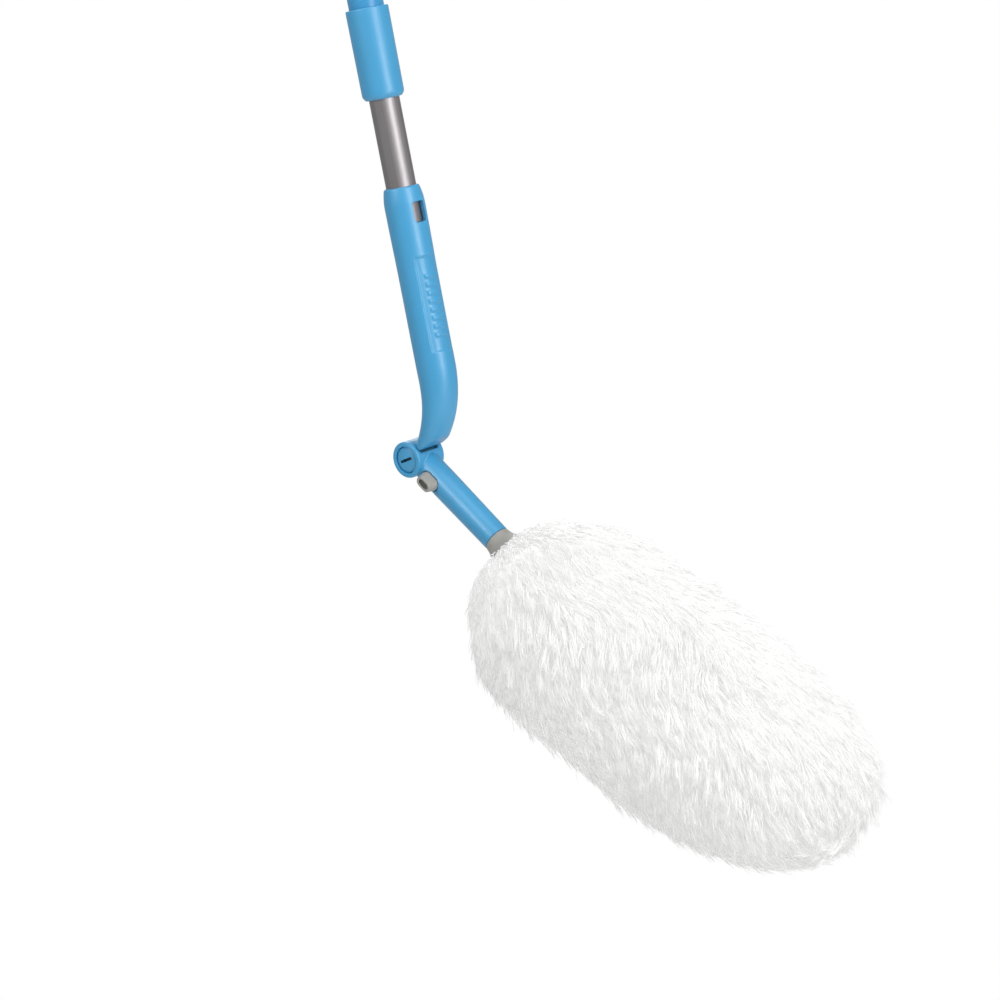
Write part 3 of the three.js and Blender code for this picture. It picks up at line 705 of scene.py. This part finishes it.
def neck_handle():
    """The neck with its socket and window, and the hinge's knuckle with the pawl's notches."""
    clear = BARREL_R + 0.5
    here = Matrix.Translation(HINGE)
    socket = rod(INNER_R + 0.15, INNER_END - 1.5, HANDLE_TOP + 1)
    thing = cut(
        neck_shell(), socket, window_tool(),
        rod(clear, KNUCKLE_HALF, 20, matrix=here @ ALONG_Y),
        rod(clear, -20, -KNUCKLE_HALF, matrix=here @ ALONG_Y),
        moved(sector(clear, 112, 360 + SEAM_INNER_TURN, 20), here),
        moved(sector(30, -70, SEAM_TURN, 20), here),
        moved(sector(clear + 1.3, -70, SEAM_INNER_TURN, 20), here),
    )
    add(
        thing, moved(sector(BARREL_R - 0.2, SEAM_INNER_TURN, 112, KNUCKLE_HALF), here),
        rod(KNUCKLE_R, -KNUCKLE_HALF, KNUCKLE_HALF, matrix=here @ ALONG_Y),
    )
    for i in range(NOTCHES):
        turn = Matrix.Rotation(-ARM_TILT + i * math.pi / 4, 4, "Y")
        cut(thing, block((-1.7, -5, -KNUCKLE_R - 1), (1.7, 5, -KNUCKLE_R + 1.6), here @ turn))
    cut(thing, rod(BOLT_R + GAP, -20, 20, 48, here @ ALONG_Y))
    moulded(thing, 0.52, 4)
    # Painted shade: the knuckle inside the barrel and the seam under the neck are stored darker,
    # standing for the shadow in the hinge.
    x, _, z = (points_of(thing) - np.array(HINGE)).T
    reach = np.hypot(x, z)
    turn = np.degrees(np.arctan2(z, x))
    seam_shade = (turn > SEAM_TURN + 0.5) & (turn < SEAM_INNER_TURN + 3) & (reach < clear + 1.25)
    inner = (reach < BARREL_R - 1) & (turn < 40)
    keep_value(thing.data, "painted_shade", np.where(inner, 0.9, 0.7 * seam_shade))
    finished(thing, "moulded_neck", "lower", BLUE_PLASTIC, ["neck_handle"], None)


# ------------ arm and hinge

def ear(side):
    """One of the arm's two round cheeks beside the knuckle."""
    low = BARREL_HALF - EAR
    profile = fillet([
        (0, low), (BARREL_R, low), (BARREL_R, BARREL_HALF), (0, BARREL_HALF),
    ], {1: 0.5, 2: 1.5})
    return lathe("ear", [(r, side * y) for r, y in profile], matrix=ALONG_Y)


def arm():
    """Tube with two ears, joined by a web that wraps round the knuckle."""
    web_from, web_to = -139.6, -26.8
    tube = lathe("arm", fillet([
        (0, -2), (ARM_R, -2), (ARM_R, -30), (ARM_END_R, ARM_END), (0, ARM_END),
    ], {3: 0.5}))
    cut(tube, sector(14, web_to, 360 + web_from, KNUCKLE_HALF + GAP))
    thing = add(tube, ear(1), ear(-1), sector(BARREL_R, web_from, web_to, BARREL_HALF - 1))
    cut(
        thing,
        rod(WEB_R + 0.05, -KNUCKLE_HALF - GAP, KNUCKLE_HALF + GAP, matrix=ALONG_Y),
        rod(ARM_BORE_R, ARM_END - 1, -5),
        obround(BUTTON_LONG + 0.9, BUTTON_WIDE + 0.9, -20, -2, BUTTON_Z),
        rod(BOLT_R + GAP, -20, 20, 48, ALONG_Y),
        rod(CAP_R + GAP, CAP_SEAT, 20, matrix=ALONG_Y),
        rod(CAP_R + GAP, -20, -CAP_SEAT, matrix=ALONG_Y),
    )
    moulded(thing, 0.35, 5)
    moved(thing, ARM_FRAME)
    finished(thing, "moulded_arm", "arm", BLUE_PLASTIC, ["arm"], None)


def pivot_bolt():
    """Slotted cap, slightly domed, on its shank."""
    face = CAP_FACE
    head = lathe("bolt", fillet([
        (0, CAP_INNER), (CAP_R, CAP_INNER), (CAP_R, face - 0.9), (CAP_R - 1.2, face - 0.2),
        (CAP_R * 0.55, face + 0.55), (0, face + 0.9),
    ], {2: 0.5, 3: 0.8, 4: 3}), matrix=ALONG_Y)
    add(head, rod(BOLT_R, -6.5, face - 0.5, 64, ALONG_Y))
    low = (-SLOT_LONG / 2, face - 2.6, -SLOT_WIDE / 2)
    high = (SLOT_LONG / 2, face + 3, SLOT_WIDE / 2)
    slot = block(low, high, Matrix.Rotation(-SLOT_TURN, 4, "Y"))
    cut(head, rod(2.2, -20, 3, 32, ALONG_Y), slot)
    moulded(head, 0.2, 2)
    # Painted shade inside the slot: its walls and floor are stored darker, standing for the slot's
    # shadow.
    x, y, z = points_of(head).T
    along = x * math.cos(SLOT_TURN) + z * math.sin(SLOT_TURN)
    across = z * math.cos(SLOT_TURN) - x * math.sin(SLOT_TURN)
    inside = (np.abs(along) < SLOT_LONG / 2 + 0.2) & (np.abs(across) < SLOT_WIDE / 2 + 0.2)
    inside &= y > face - 3
    keep_value(head.data, "painted_shade", inside * smoothstep(0.2, 0.6, face + 0.4 - y))
    moved(head, ARM_FRAME @ Matrix.Rotation(math.pi, 4, "Z"))
    finished(head, "slotted_pivot_bolt", "arm", BLUE_PLASTIC, ["pivot_bolt"], None)


def pivot_nut():
    """Matching cap on the far side, with a hexagonal socket."""
    face = CAP_FACE
    head = lathe("nut", fillet([
        (0, CAP_INNER), (CAP_R, CAP_INNER), (CAP_R, face - 0.1), (CAP_R - 0.9, face),
        (CAP_R * 0.5, face + 0.25), (0, face + 0.3),
    ], {2: 0.5, 3: 0.6, 4: 3}), matrix=ALONG_Y)
    add(head, rod(1.9, -2, face - 0.5, 32, ALONG_Y))
    cut(head, rod(3, face - 0.9, face + 2, 6, ALONG_Y))
    moulded(head, 0.2, 2)
    moved(head, ARM_FRAME)
    finished(head, "pivot_nut_cap", "arm", BLUE_PLASTIC, ["pivot_nut"], None)


def lock_button():
    """Push button with a dished end; its stem is the wedge that drives the pawl."""
    tip_y, foot_z, top_z = 0.5, BUTTON_Z - 3.4, BUTTON_Z + 2.4
    slope = 0.5
    base_y = BUTTON_INNER_Y - 4
    thing = tapered_obround([
        (BUTTON_FACE_Y, BUTTON_FACE_LONG - 0.2, BUTTON_FACE_WIDE - 0.2, BUTTON_FACE_Z),
        (BUTTON_FACE_Y + 0.6, BUTTON_FACE_LONG, BUTTON_FACE_WIDE, BUTTON_FACE_Z),
        (base_y, BUTTON_LONG, BUTTON_WIDE, BUTTON_Z),
        (BUTTON_INNER_Y, BUTTON_LONG, BUTTON_WIDE, BUTTON_Z),
    ])
    add(thing, block(
        (-3, BUTTON_INNER_Y - 1, BUTTON_Z - BUTTON_LONG / 2 - 1),
        (3, BUTTON_INNER_Y, BUTTON_Z + BUTTON_LONG / 2 + 0.8),
    ), bar_across([
        (BUTTON_INNER_Y - 0.5, foot_z), (BUTTON_INNER_Y, foot_z),
        (tip_y, foot_z + slope * (tip_y - BUTTON_INNER_Y)), (tip_y, top_z),
        (BUTTON_INNER_Y - 0.5, top_z),
    ], 1.6))
    dish_low, dish_high = BUTTON_FACE_Y - 1, BUTTON_FACE_Y + 1.3
    cut(thing, obround(DISH_LONG, DISH_WIDE, dish_low, dish_high, BUTTON_FACE_Z))
    moulded(thing, 0.22, 4)
    # Painted shade in the dish: its floor is stored darker, standing for the dish's shadow.
    x, y, z = points_of(thing).T
    past = np.maximum(np.abs(z - BUTTON_FACE_Z) - (DISH_LONG - DISH_WIDE) / 2, 0)
    inside = np.hypot(x, past) < DISH_WIDE / 2 + 0.2
    dish_shade = inside * smoothstep(0.1, 0.5, y - BUTTON_FACE_Y) * (y < BUTTON_FACE_Y + 4)
    keep_value(thing.data, "painted_shade", dish_shade)
    moved(thing, ARM_FRAME)
    finished(thing, "push_button", "button", GREY_PLASTIC, ["lock_button"], None)


# ------------ head

def head_frame(s):
    """Centre and the local X direction of the head, a distance s past the grey collar's rim."""
    turn = s / BEND_R
    centre = np.stack([
        BEND_R * (1 - np.cos(turn)), np.zeros_like(turn), LIP_Z - BEND_R * np.sin(turn),
    ], -1)
    side = np.stack([np.cos(turn), np.zeros_like(turn), np.sin(turn)], -1)
    return centre, side


def in_row_frame(points):
    """Points or directions of the arm's frame, in the row's frame."""
    rotation = np.array(ARM_FRAME.to_3x3())
    return points @ rotation.T + np.array(HINGE)


def head_collar():
    """Grey bell between the arm and the pile, with the spigot that holds the head."""
    spigot_top = ARM_END + 32
    plug = ARM_BORE_R - GAP
    thing = lathe("bell", fillet([
        (3.8, LIP_Z + 5), (8, LIP_Z + 5), (10.4, LIP_Z + 3.5), (13.1, LIP_Z), (13.9, LIP_Z),
        (11.7, LIP_Z + 3.2), (9.7, ARM_END - 5), (ARM_END_R + 0.1, ARM_END - 1.5),
        (ARM_END_R - 0.1, ARM_END - GAP), (plug, ARM_END - GAP), (plug, ARM_END + 18),
        (plug - 0.9, ARM_END + 19), (plug - 0.9, ARM_END + 22), (plug, ARM_END + 23),
        (plug, spigot_top - 1), (plug - 1.1, spigot_top), (0.6, spigot_top),
        (0.6, ARM_END + 6), (3.8, ARM_END + 6),
    ], {3: 0.3, 4: 0.3, 5: 3, 6: 4, 8: 0.3, 14: 1}))
    moved(thing, ARM_FRAME)
    finished(thing, "grey_bell_collar", "head", GREY_PLASTIC, ["head_collar"])


def outline_radius(t):
    """Radius of the pile's outline: blunt at the collar, rounder at the far end."""
    v = 2 * t - 1
    near = (1 - np.abs(np.minimum(v, 0)) ** 4) ** (1 / 3)
    far = (1 - np.clip(np.maximum(v, 0), 0, 1) ** 2.3) ** (1 / 2.4)
    return HEAD_R * np.where(v < 0, near, far)


PILE_START = 1.5                # past the grey collar's rim
PILE_RISE = 6                   # how far the far end of the pile stands above its core
PILE_SAG = 4                    # how far its near end hangs below
PILE_DEPTH = 7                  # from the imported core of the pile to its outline


def pile_depth(t):
    """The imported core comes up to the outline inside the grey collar, where no strand is long."""
    return PILE_DEPTH * smoothstep(0, 0.05, t) + 0.5


def pile_surface(t, angle, inset):
    """Points and normals of the pile's outline, or of a surface inset from it, and which way
    it runs towards the far end."""
    def place(u):
        s = PILE_START + (HEAD_LENGTH - PILE_START) * u
        centre, side = head_frame(s)
        centre = centre + (PILE_RISE * u ** 2 - PILE_SAG * (1 - u) ** 3)[..., None] * side
        r = outline_radius(u)[..., None]
        spin = np.cos(angle)[..., None] * side
        spin = spin + np.sin(angle)[..., None] * np.array([0.0, 1.0, 0.0])
        return centre + r * spin, spin

    step = 0.0008
    here, spin = place(t)
    along = place(np.minimum(t + step, 1))[0] - place(np.maximum(t - step, 0))[0]
    round_about = np.cross(np.array([0.0, 0.0, -1.0]), spin)
    normal = np.cross(round_about, along)
    normal /= np.linalg.norm(normal, axis=-1, keepdims=True) + 1e-12
    normal *= np.sign((normal * spin).sum(-1, keepdims=True) + 1e-9)
    return here - np.asarray(inset)[..., None] * normal, normal, unit(along)


def lumps(points, scale, seed):
    """Smooth noise from a few sine waves in fixed random directions, from -1 to 1."""
    waves = np.random.default_rng(seed)
    value = np.zeros(len(points))
    for _ in range(7):
        direction = waves.normal(size=3)
        direction *= waves.uniform(0.6, 1.5) / np.linalg.norm(direction) / scale
        value += np.sin(points @ direction + waves.uniform(0, 2 * math.pi))
    return value / 3.5


def pile_core():
    """Packed inner pile: a lumpy closed form under the loose strands."""
    rings, sides = 150, 220
    t = 0.5 - 0.5 * np.cos(math.pi * np.linspace(0.004, 0.985, rings))
    angle = np.arange(sides) * 2 * math.pi / sides
    grid_t, grid_a = np.meshgrid(t, angle, indexing="ij")
    points, normals, _ = pile_surface(grid_t.ravel(), grid_a.ravel(), pile_depth(grid_t.ravel()))
    rise = 1.6 * lumps(points, 6.0, 11) + 0.7 * lumps(points, 2.2, 12)
    points = points + normals * rise[:, None]
    thing = loft("core", in_row_frame(points), sides)
    keep_value(thing.data, "strand_along", np.full(len(points), 0.1))
    keep_value(thing.data, "strand_tint", np.clip(0.5 + 0.5 * lumps(points, 4.0, 13), 0, 1))
    finished(thing, "packed_pile", "head", PILE, ["fluff"])


TUFTS = 6400
STRANDS_IN_TUFT = 12
FLYAWAYS = 3000
STRAND_LENGTH = 24
STRAND_R = 0.42                 # at the root
TUFT_R = 2.6                    # over which a tuft's strands are rooted
RINGS = 4                       # rings of points on a strand, before its tip
STRANDS_A_PIECE = 8800
DOWN = np.array(ARM_FRAME.to_3x3().inverted() @ Vector((0, 0, -1)))     # gravity


def even_places(count):
    """Places spread evenly over the pile: shares of its length, and angles about it."""
    share = 0.5 - 0.5 * np.cos(math.pi * np.linspace(0.004, 0.996, 4000))
    points = pile_surface(share, np.zeros_like(share), np.zeros_like(share))[0]
    girth = outline_radius(share)
    strip = np.linalg.norm(np.diff(points, axis=0), axis=1) * (girth[1:] + girth[:-1])
    area = np.concatenate([[0], np.cumsum(strip)])
    t = np.interp((np.arange(count) + 0.5) / count * area[-1], area, share)
    golden = math.pi * (3 - math.sqrt(5))
    return t, np.arange(count) * golden


def unit(vectors):
    return vectors / (np.linalg.norm(vectors, axis=-1, keepdims=True) + 1e-12)


def combed(points, normals, along, t):
    """Which way the pile lies along the surface: down, towards the far end, with swirls."""
    swirl = np.stack([lumps(points, 16.0, seed) for seed in (21, 22, 23)], -1)
    near_neck = 1 - smoothstep(0.02, 0.22, t)[..., None]
    lay = (1 - 0.75 * near_neck) * DOWN + (0.45 + 0.9 * near_neck) * along
    lay = lay + (0.55 - 0.35 * near_neck) * swirl
    return unit(lay - (lay * normals).sum(-1, keepdims=True) * normals)


def strand_paths(t, angle, spread, lift, droop, length):
    """Centre lines of strands, one row for each: (strand, ring, 3), and their root normals."""
    roots, normals, along = pile_surface(t, angle, pile_depth(t) + 1.2)
    lay = combed(roots, normals, along, t)
    across = np.cross(normals, lay)
    turn = spread[:, None]
    lay = np.cos(turn) * lay + np.sin(turn) * across
    steps = np.linspace(0, 1, RINGS + 1)
    hang = normals @ DOWN
    flat = 0.25 * np.abs(hang) * np.where(hang < 0, 1, smoothstep(0.1, 0.35, t))
    rise = (lift - flat)[:, None] - droop[:, None] * (0.5 * (steps[1:] + steps[:-1]))
    move = np.cos(rise)[..., None] * lay[:, None] + np.sin(rise)[..., None] * normals[:, None]
    move *= (length / RINGS)[:, None, None]
    path = np.concatenate([roots[:, None], roots[:, None] + np.cumsum(move, axis=1)], axis=1)
    return path, normals


def tufted(count, members):
    """Strands that start close together and draw to one point."""
    t, angle = even_places(count)
    away = smoothstep(0.0, 0.14, t)
    lift = np.radians(4 + 36 * away + (1 + 4 * away) * rng.normal(size=count))
    droop = np.radians((48 + 7 * rng.normal(size=count)) * (0.2 + 0.8 * away))
    length = STRAND_LENGTH * rng.uniform(0.78, 1.12, count) * (0.4 + 0.6 * smoothstep(0, 0.1, t))
    spread = 0.18 * rng.normal(size=count)
    middle, normals = strand_paths(t, angle, spread, lift, droop, length)
    tangent = unit(middle[:, 1] - middle[:, 0])
    side = unit(np.cross(normals, tangent))
    other = np.cross(tangent, side)
    turn = rng.uniform(0, 2 * math.pi, (count, members))
    reach = TUFT_R * np.sqrt(rng.uniform(0, 1, (count, members)))
    offset = (reach * np.cos(turn))[..., None] * side[:, None]
    offset = offset + (reach * np.sin(turn))[..., None] * other[:, None]
    steps = np.linspace(0, 1, RINGS + 1)
    draw = (1 - 0.45 * steps ** 1.3)[None, None, :, None]
    stray = rng.normal(size=(count, members, 1, 3)) * (1.5 * steps ** 2)[None, None, :, None]
    wave = np.sin(steps * 5 + rng.uniform(0, 6.3, (count, members, 1)))[..., None]
    ripple = 0.35 * wave * side[:, None, None]
    trim = rng.uniform(0.82, 1.05, (count, members, 1, 1))
    body = middle[:, None, :1] + (middle[:, None] - middle[:, None, :1]) * trim
    path = body + offset[:, :, None] * draw + stray + ripple
    tint = rng.uniform(0, 1, (count, 1)) * 0.6 + rng.uniform(0, 0.6, (count, members))
    tint = np.clip(tint, 0, 1)
    facing = np.repeat(normals[:, None], members, axis=1)
    return path.reshape(-1, RINGS + 1, 3), facing.reshape(-1, 3), tint.ravel()


def strayed(count):
    """Single thin strands that stand off the rest."""
    t, angle = even_places(count)
    angle = angle + rng.uniform(-0.3, 0.3, count)
    away = smoothstep(0.0, 0.14, t)
    lift = np.radians(rng.uniform(25, 60, count) * (0.15 + 0.85 * away))
    droop = np.radians(rng.uniform(35, 85, count) * away)
    length = STRAND_LENGTH * rng.uniform(0.75, 1.1, count) * (0.4 + 0.6 * away)
    path, normals = strand_paths(t, angle, 0.6 * rng.normal(size=count), lift, droop, length)
    return path, normals, rng.uniform(0.5, 1, count)


def strand_points(path, facing, radius):
    """Points of three-sided tapering tubes along the paths: (strand, point, 3), the tip last."""
    count = len(path)
    thick = radius * (1 - 0.72 * np.linspace(0, 1, RINGS + 1) ** 1.5)
    tangent = unit(np.gradient(path, axis=1))
    side = unit(np.cross(tangent, facing[:, None]))
    other = np.cross(side, tangent)
    first = rng.uniform(0, 2 * math.pi, count)
    points = np.empty((count, 3 * RINGS + 1, 3))
    for j in range(3):
        turn = (first + j * 2 * math.pi / 3)[:, None, None]
        out = np.cos(turn) * side[:, :RINGS] + np.sin(turn) * other[:, :RINGS]
        points[:, j:3 * RINGS:3] = path[:, :RINGS] + thick[None, :RINGS, None] * out
    points[:, -1] = path[:, -1]
    return points


def strand_faces():
    """Faces of one strand, closed at both ends, and their corners in its own square of UV."""
    faces, cells = [(0, 2, 1)], [((0, 0), (1, 0), (0.5, 0))]
    for i in range(RINGS):
        v, w = i / RINGS, (i + 1) / RINGS
        for j in range(3):
            n = (j + 1) % 3
            if i < RINGS - 1:
                faces.append((3 * i + j, 3 * i + n, 3 * i + 3 + n, 3 * i + 3 + j))
                cells.append(((j / 3, v), ((j + 1) / 3, v), ((j + 1) / 3, w), (j / 3, w)))
            else:
                faces.append((3 * i + j, 3 * i + n, 3 * RINGS))
                cells.append(((j / 3, v), ((j + 1) / 3, v), ((j + 0.5) / 3, w)))
    return faces, cells


def strand_mesh(name, path, facing, tint, radius):
    """Many strands as one mesh, with the values that their material reads."""
    points = strand_points(path, facing, radius)
    faces, cells = strand_faces()
    if np.linalg.det(points[0, list(faces[1][:3])] - path[0, 0]) < 0:
        faces = [face[::-1] for face in faces]
        cells = [cell[::-1] for cell in cells]
    count, each = points.shape[:2]
    one = np.concatenate(faces)
    loops = (one[None] + (np.arange(count) * each)[:, None]).ravel()
    totals = np.tile([len(face) for face in faces], count)
    starts = np.concatenate([[0], np.cumsum(totals)[:-1]])
    mesh = bpy.data.meshes.new(name)
    mesh.vertices.add(count * each)
    mesh.loops.add(len(loops))
    mesh.polygons.add(len(totals))
    mesh.vertices.foreach_set("co", in_row_frame(points.reshape(-1, 3)).astype(np.float32).ravel())
    mesh.loops.foreach_set("vertex_index", loops.astype(np.int32))
    mesh.polygons.foreach_set("loop_start", starts.astype(np.int32))
    mesh.update(calc_edges=True)
    layer = mesh.uv_layers.new(name="OFBake")
    grid = math.ceil(math.sqrt(count))
    corner = np.stack([np.arange(count) % grid, np.arange(count) // grid], -1)
    inside = 0.08 + 0.84 * np.concatenate(cells)
    spots = (corner[:, None] + inside[None]) / grid
    layer.data.foreach_set("uv", spots.astype(np.float32).ravel())
    along = np.append(np.repeat(np.linspace(0, 1, RINGS + 1)[:RINGS], 3), 1.0)
    keep_value(mesh, "strand_along", np.tile(along, count))
    keep_value(mesh, "strand_tint", np.repeat(tint, each))
    return scene_object(name, mesh)


def pile_strands():
    """Every strand of the pile, in pieces of a size that the tools can take."""
    sets = [(*tufted(TUFTS, STRANDS_IN_TUFT), STRAND_R), (*strayed(FLYAWAYS), STRAND_R * 0.6)]
    number = 0
    for path, facing, tint, radius in sets:
        for start in range(0, len(path), STRANDS_A_PIECE):
            part = slice(start, start + STRANDS_A_PIECE)
            number += 1
            thing = strand_mesh(f"pile_{number}", path[part], facing[part], tint[part], radius)
            finished(thing, f"pile_strands_{number}", "head", PILE, smooth_below=math.pi)


# ------------ build

for make in (outer_tube, inner_tube, twist_collar, pole_grip, hanger_cap, neck_handle, arm,
             pivot_bolt, pivot_nut, lock_button, head_collar, pile_core, pile_strands):
    make()

SHOWN_AS_THEY_ARE = {
    WHITE_PLASTIC: ("collar_ferrule", "collet", "tube_end_guide", "lock_pawl", "spring_seat",
                    "core_frame"),
    STEEL: ("pivot_washer", "pawl_spring", "core_rod"),
    GREY_PLASTIC: ("core_tip_cap",),
    CLOTH: ("sleeve_hem", "sleeve_backing"),
}
for material, nodes in SHOWN_AS_THEY_ARE.items():
    for node in nodes:
        materials = frame["nodes"][node].data.materials
        materials.clear()
        materials.append(material)


# ------------ stage, lights, camera

CAMERA_AZIMUTH = math.radians(44.3)
CAMERA_ELEVATION = math.radians(9.0)
CAMERA_ROLL = math.radians(10.85)      # the duster leans in the picture, as it is held
CAMERA_DISTANCE = 1.905
HINGE_ACROSS = -0.0517                 # where the hinge lies from the middle of the view
HINGE_UP = 0.0279
LENS = 108
MIDDLE = Vector((0, 0, -0.65))         # of the duster; the lights are aimed at it
FLOOR_Z = -1.75


def direction(azimuth, elevation):
    """From the object towards a viewer; azimuth 0 is at -Y and 90 degrees is at +X."""
    flat = math.cos(elevation)
    return Vector((
        math.sin(azimuth) * flat, -math.cos(azimuth) * flat, math.sin(elevation),
    ))


def make_camera():
    data = bpy.data.cameras.new("camera")
    data.lens = LENS
    data.sensor_width = 36
    data.clip_end = 50
    camera = scene_object("camera", data)
    back = direction(CAMERA_AZIMUTH, CAMERA_ELEVATION)
    facing = (-back).to_track_quat("-Z", "Y")
    camera.rotation_mode = "QUATERNION"
    camera.rotation_quaternion = facing @ Matrix.Rotation(-CAMERA_ROLL, 3, "Z").to_quaternion()
    across = camera.rotation_quaternion @ Vector((1, 0, 0))
    up = camera.rotation_quaternion @ Vector((0, 1, 0))
    camera.location = (HINGE * MM + CAMERA_DISTANCE * back - HINGE_ACROSS * across
                       - HINGE_UP * up)
    bpy.context.scene.camera = camera


def softbox(name, azimuth, elevation, distance, size, power):
    """Rectangular light aimed at the duster's middle; angles in degrees, power in watts."""
    data = bpy.data.lights.new(name, "AREA")
    data.shape = "RECTANGLE"
    data.size, data.size_y = size
    data.energy = power
    light = scene_object(name, data)
    out = direction(math.radians(azimuth), math.radians(elevation))
    light.location = MIDDLE + distance * out
    light.rotation_mode = "QUATERNION"
    light.rotation_quaternion = (-out).to_track_quat("-Z", "Y")


def white_to_camera(tree, output, white, others):
    """Gives camera rays the white shader, and every other ray the other one."""
    mix = tree.nodes.new("ShaderNodeMixShader")
    rays = tree.nodes.new("ShaderNodeLightPath")
    tree.links.new(rays.outputs["Is Camera Ray"], mix.inputs["Fac"])
    tree.links.new(others.outputs[0], mix.inputs[1])
    tree.links.new(white.outputs[0], mix.inputs[2])
    tree.links.new(mix.outputs["Shader"], tree.nodes.new(output).inputs["Surface"])


def make_world():
    """A soft room, a little brighter below, that lights everything."""
    world = bpy.data.worlds.new("studio")
    bpy.context.scene.world = world
    world.use_nodes = True
    nodes, links = world.node_tree.nodes, world.node_tree.links
    nodes.clear()
    white = nodes.new("ShaderNodeBackground")
    white.inputs["Color"].default_value = (1, 1, 1, 1)
    room = nodes.new("ShaderNodeBackground")
    place = nodes.new("ShaderNodeTexCoord")
    split = nodes.new("ShaderNodeSeparateXYZ")
    ramp = nodes.new("ShaderNodeMapRange")
    links.new(place.outputs["Generated"], split.inputs["Vector"])
    links.new(split.outputs["Z"], ramp.inputs["Value"])
    ramp.inputs["From Min"].default_value = -0.6
    ramp.inputs["From Max"].default_value = 0.9
    ramp.inputs["To Min"].default_value = 0.55
    ramp.inputs["To Max"].default_value = 0.45
    links.new(ramp.outputs["Result"], room.inputs["Strength"])
    white_to_camera(world.node_tree, "ShaderNodeOutputWorld", white, room)


def make_floor():
    """Plain pale floor, well below the duster at its longest."""
    side = 12
    square = [(-side, -side), (side, -side), (side, side), (-side, side)]
    floor = mesh_object("floor", [(x, y, FLOOR_Z) for x, y in square], [(0, 1, 2, 3)])
    material = bpy.data.materials.new("pale_floor")
    material.use_nodes = True
    nodes = material.node_tree.nodes
    nodes.clear()
    matt = nodes.new("ShaderNodeBsdfDiffuse")
    white = nodes.new("ShaderNodeEmission")
    matt.inputs["Color"].default_value = (0.88, 0.88, 0.88, 1)
    white_to_camera(material.node_tree, "ShaderNodeOutputMaterial", white, matt)
    floor.data.materials.append(material)


make_camera()
make_world()
make_floor()
softbox("key", 84, 14, 2.4, (1.0, 2.6), 44)
softbox("front", -5, 35, 2.6, (1.0, 1.0), 22)
softbox("top", 50, 78, 2.2, (1.6, 1.6), 11)
softbox("back", 225, 25, 2.6, (1.4, 1.4), 14)

bpy.context.scene.view_settings.view_transform = "Standard"
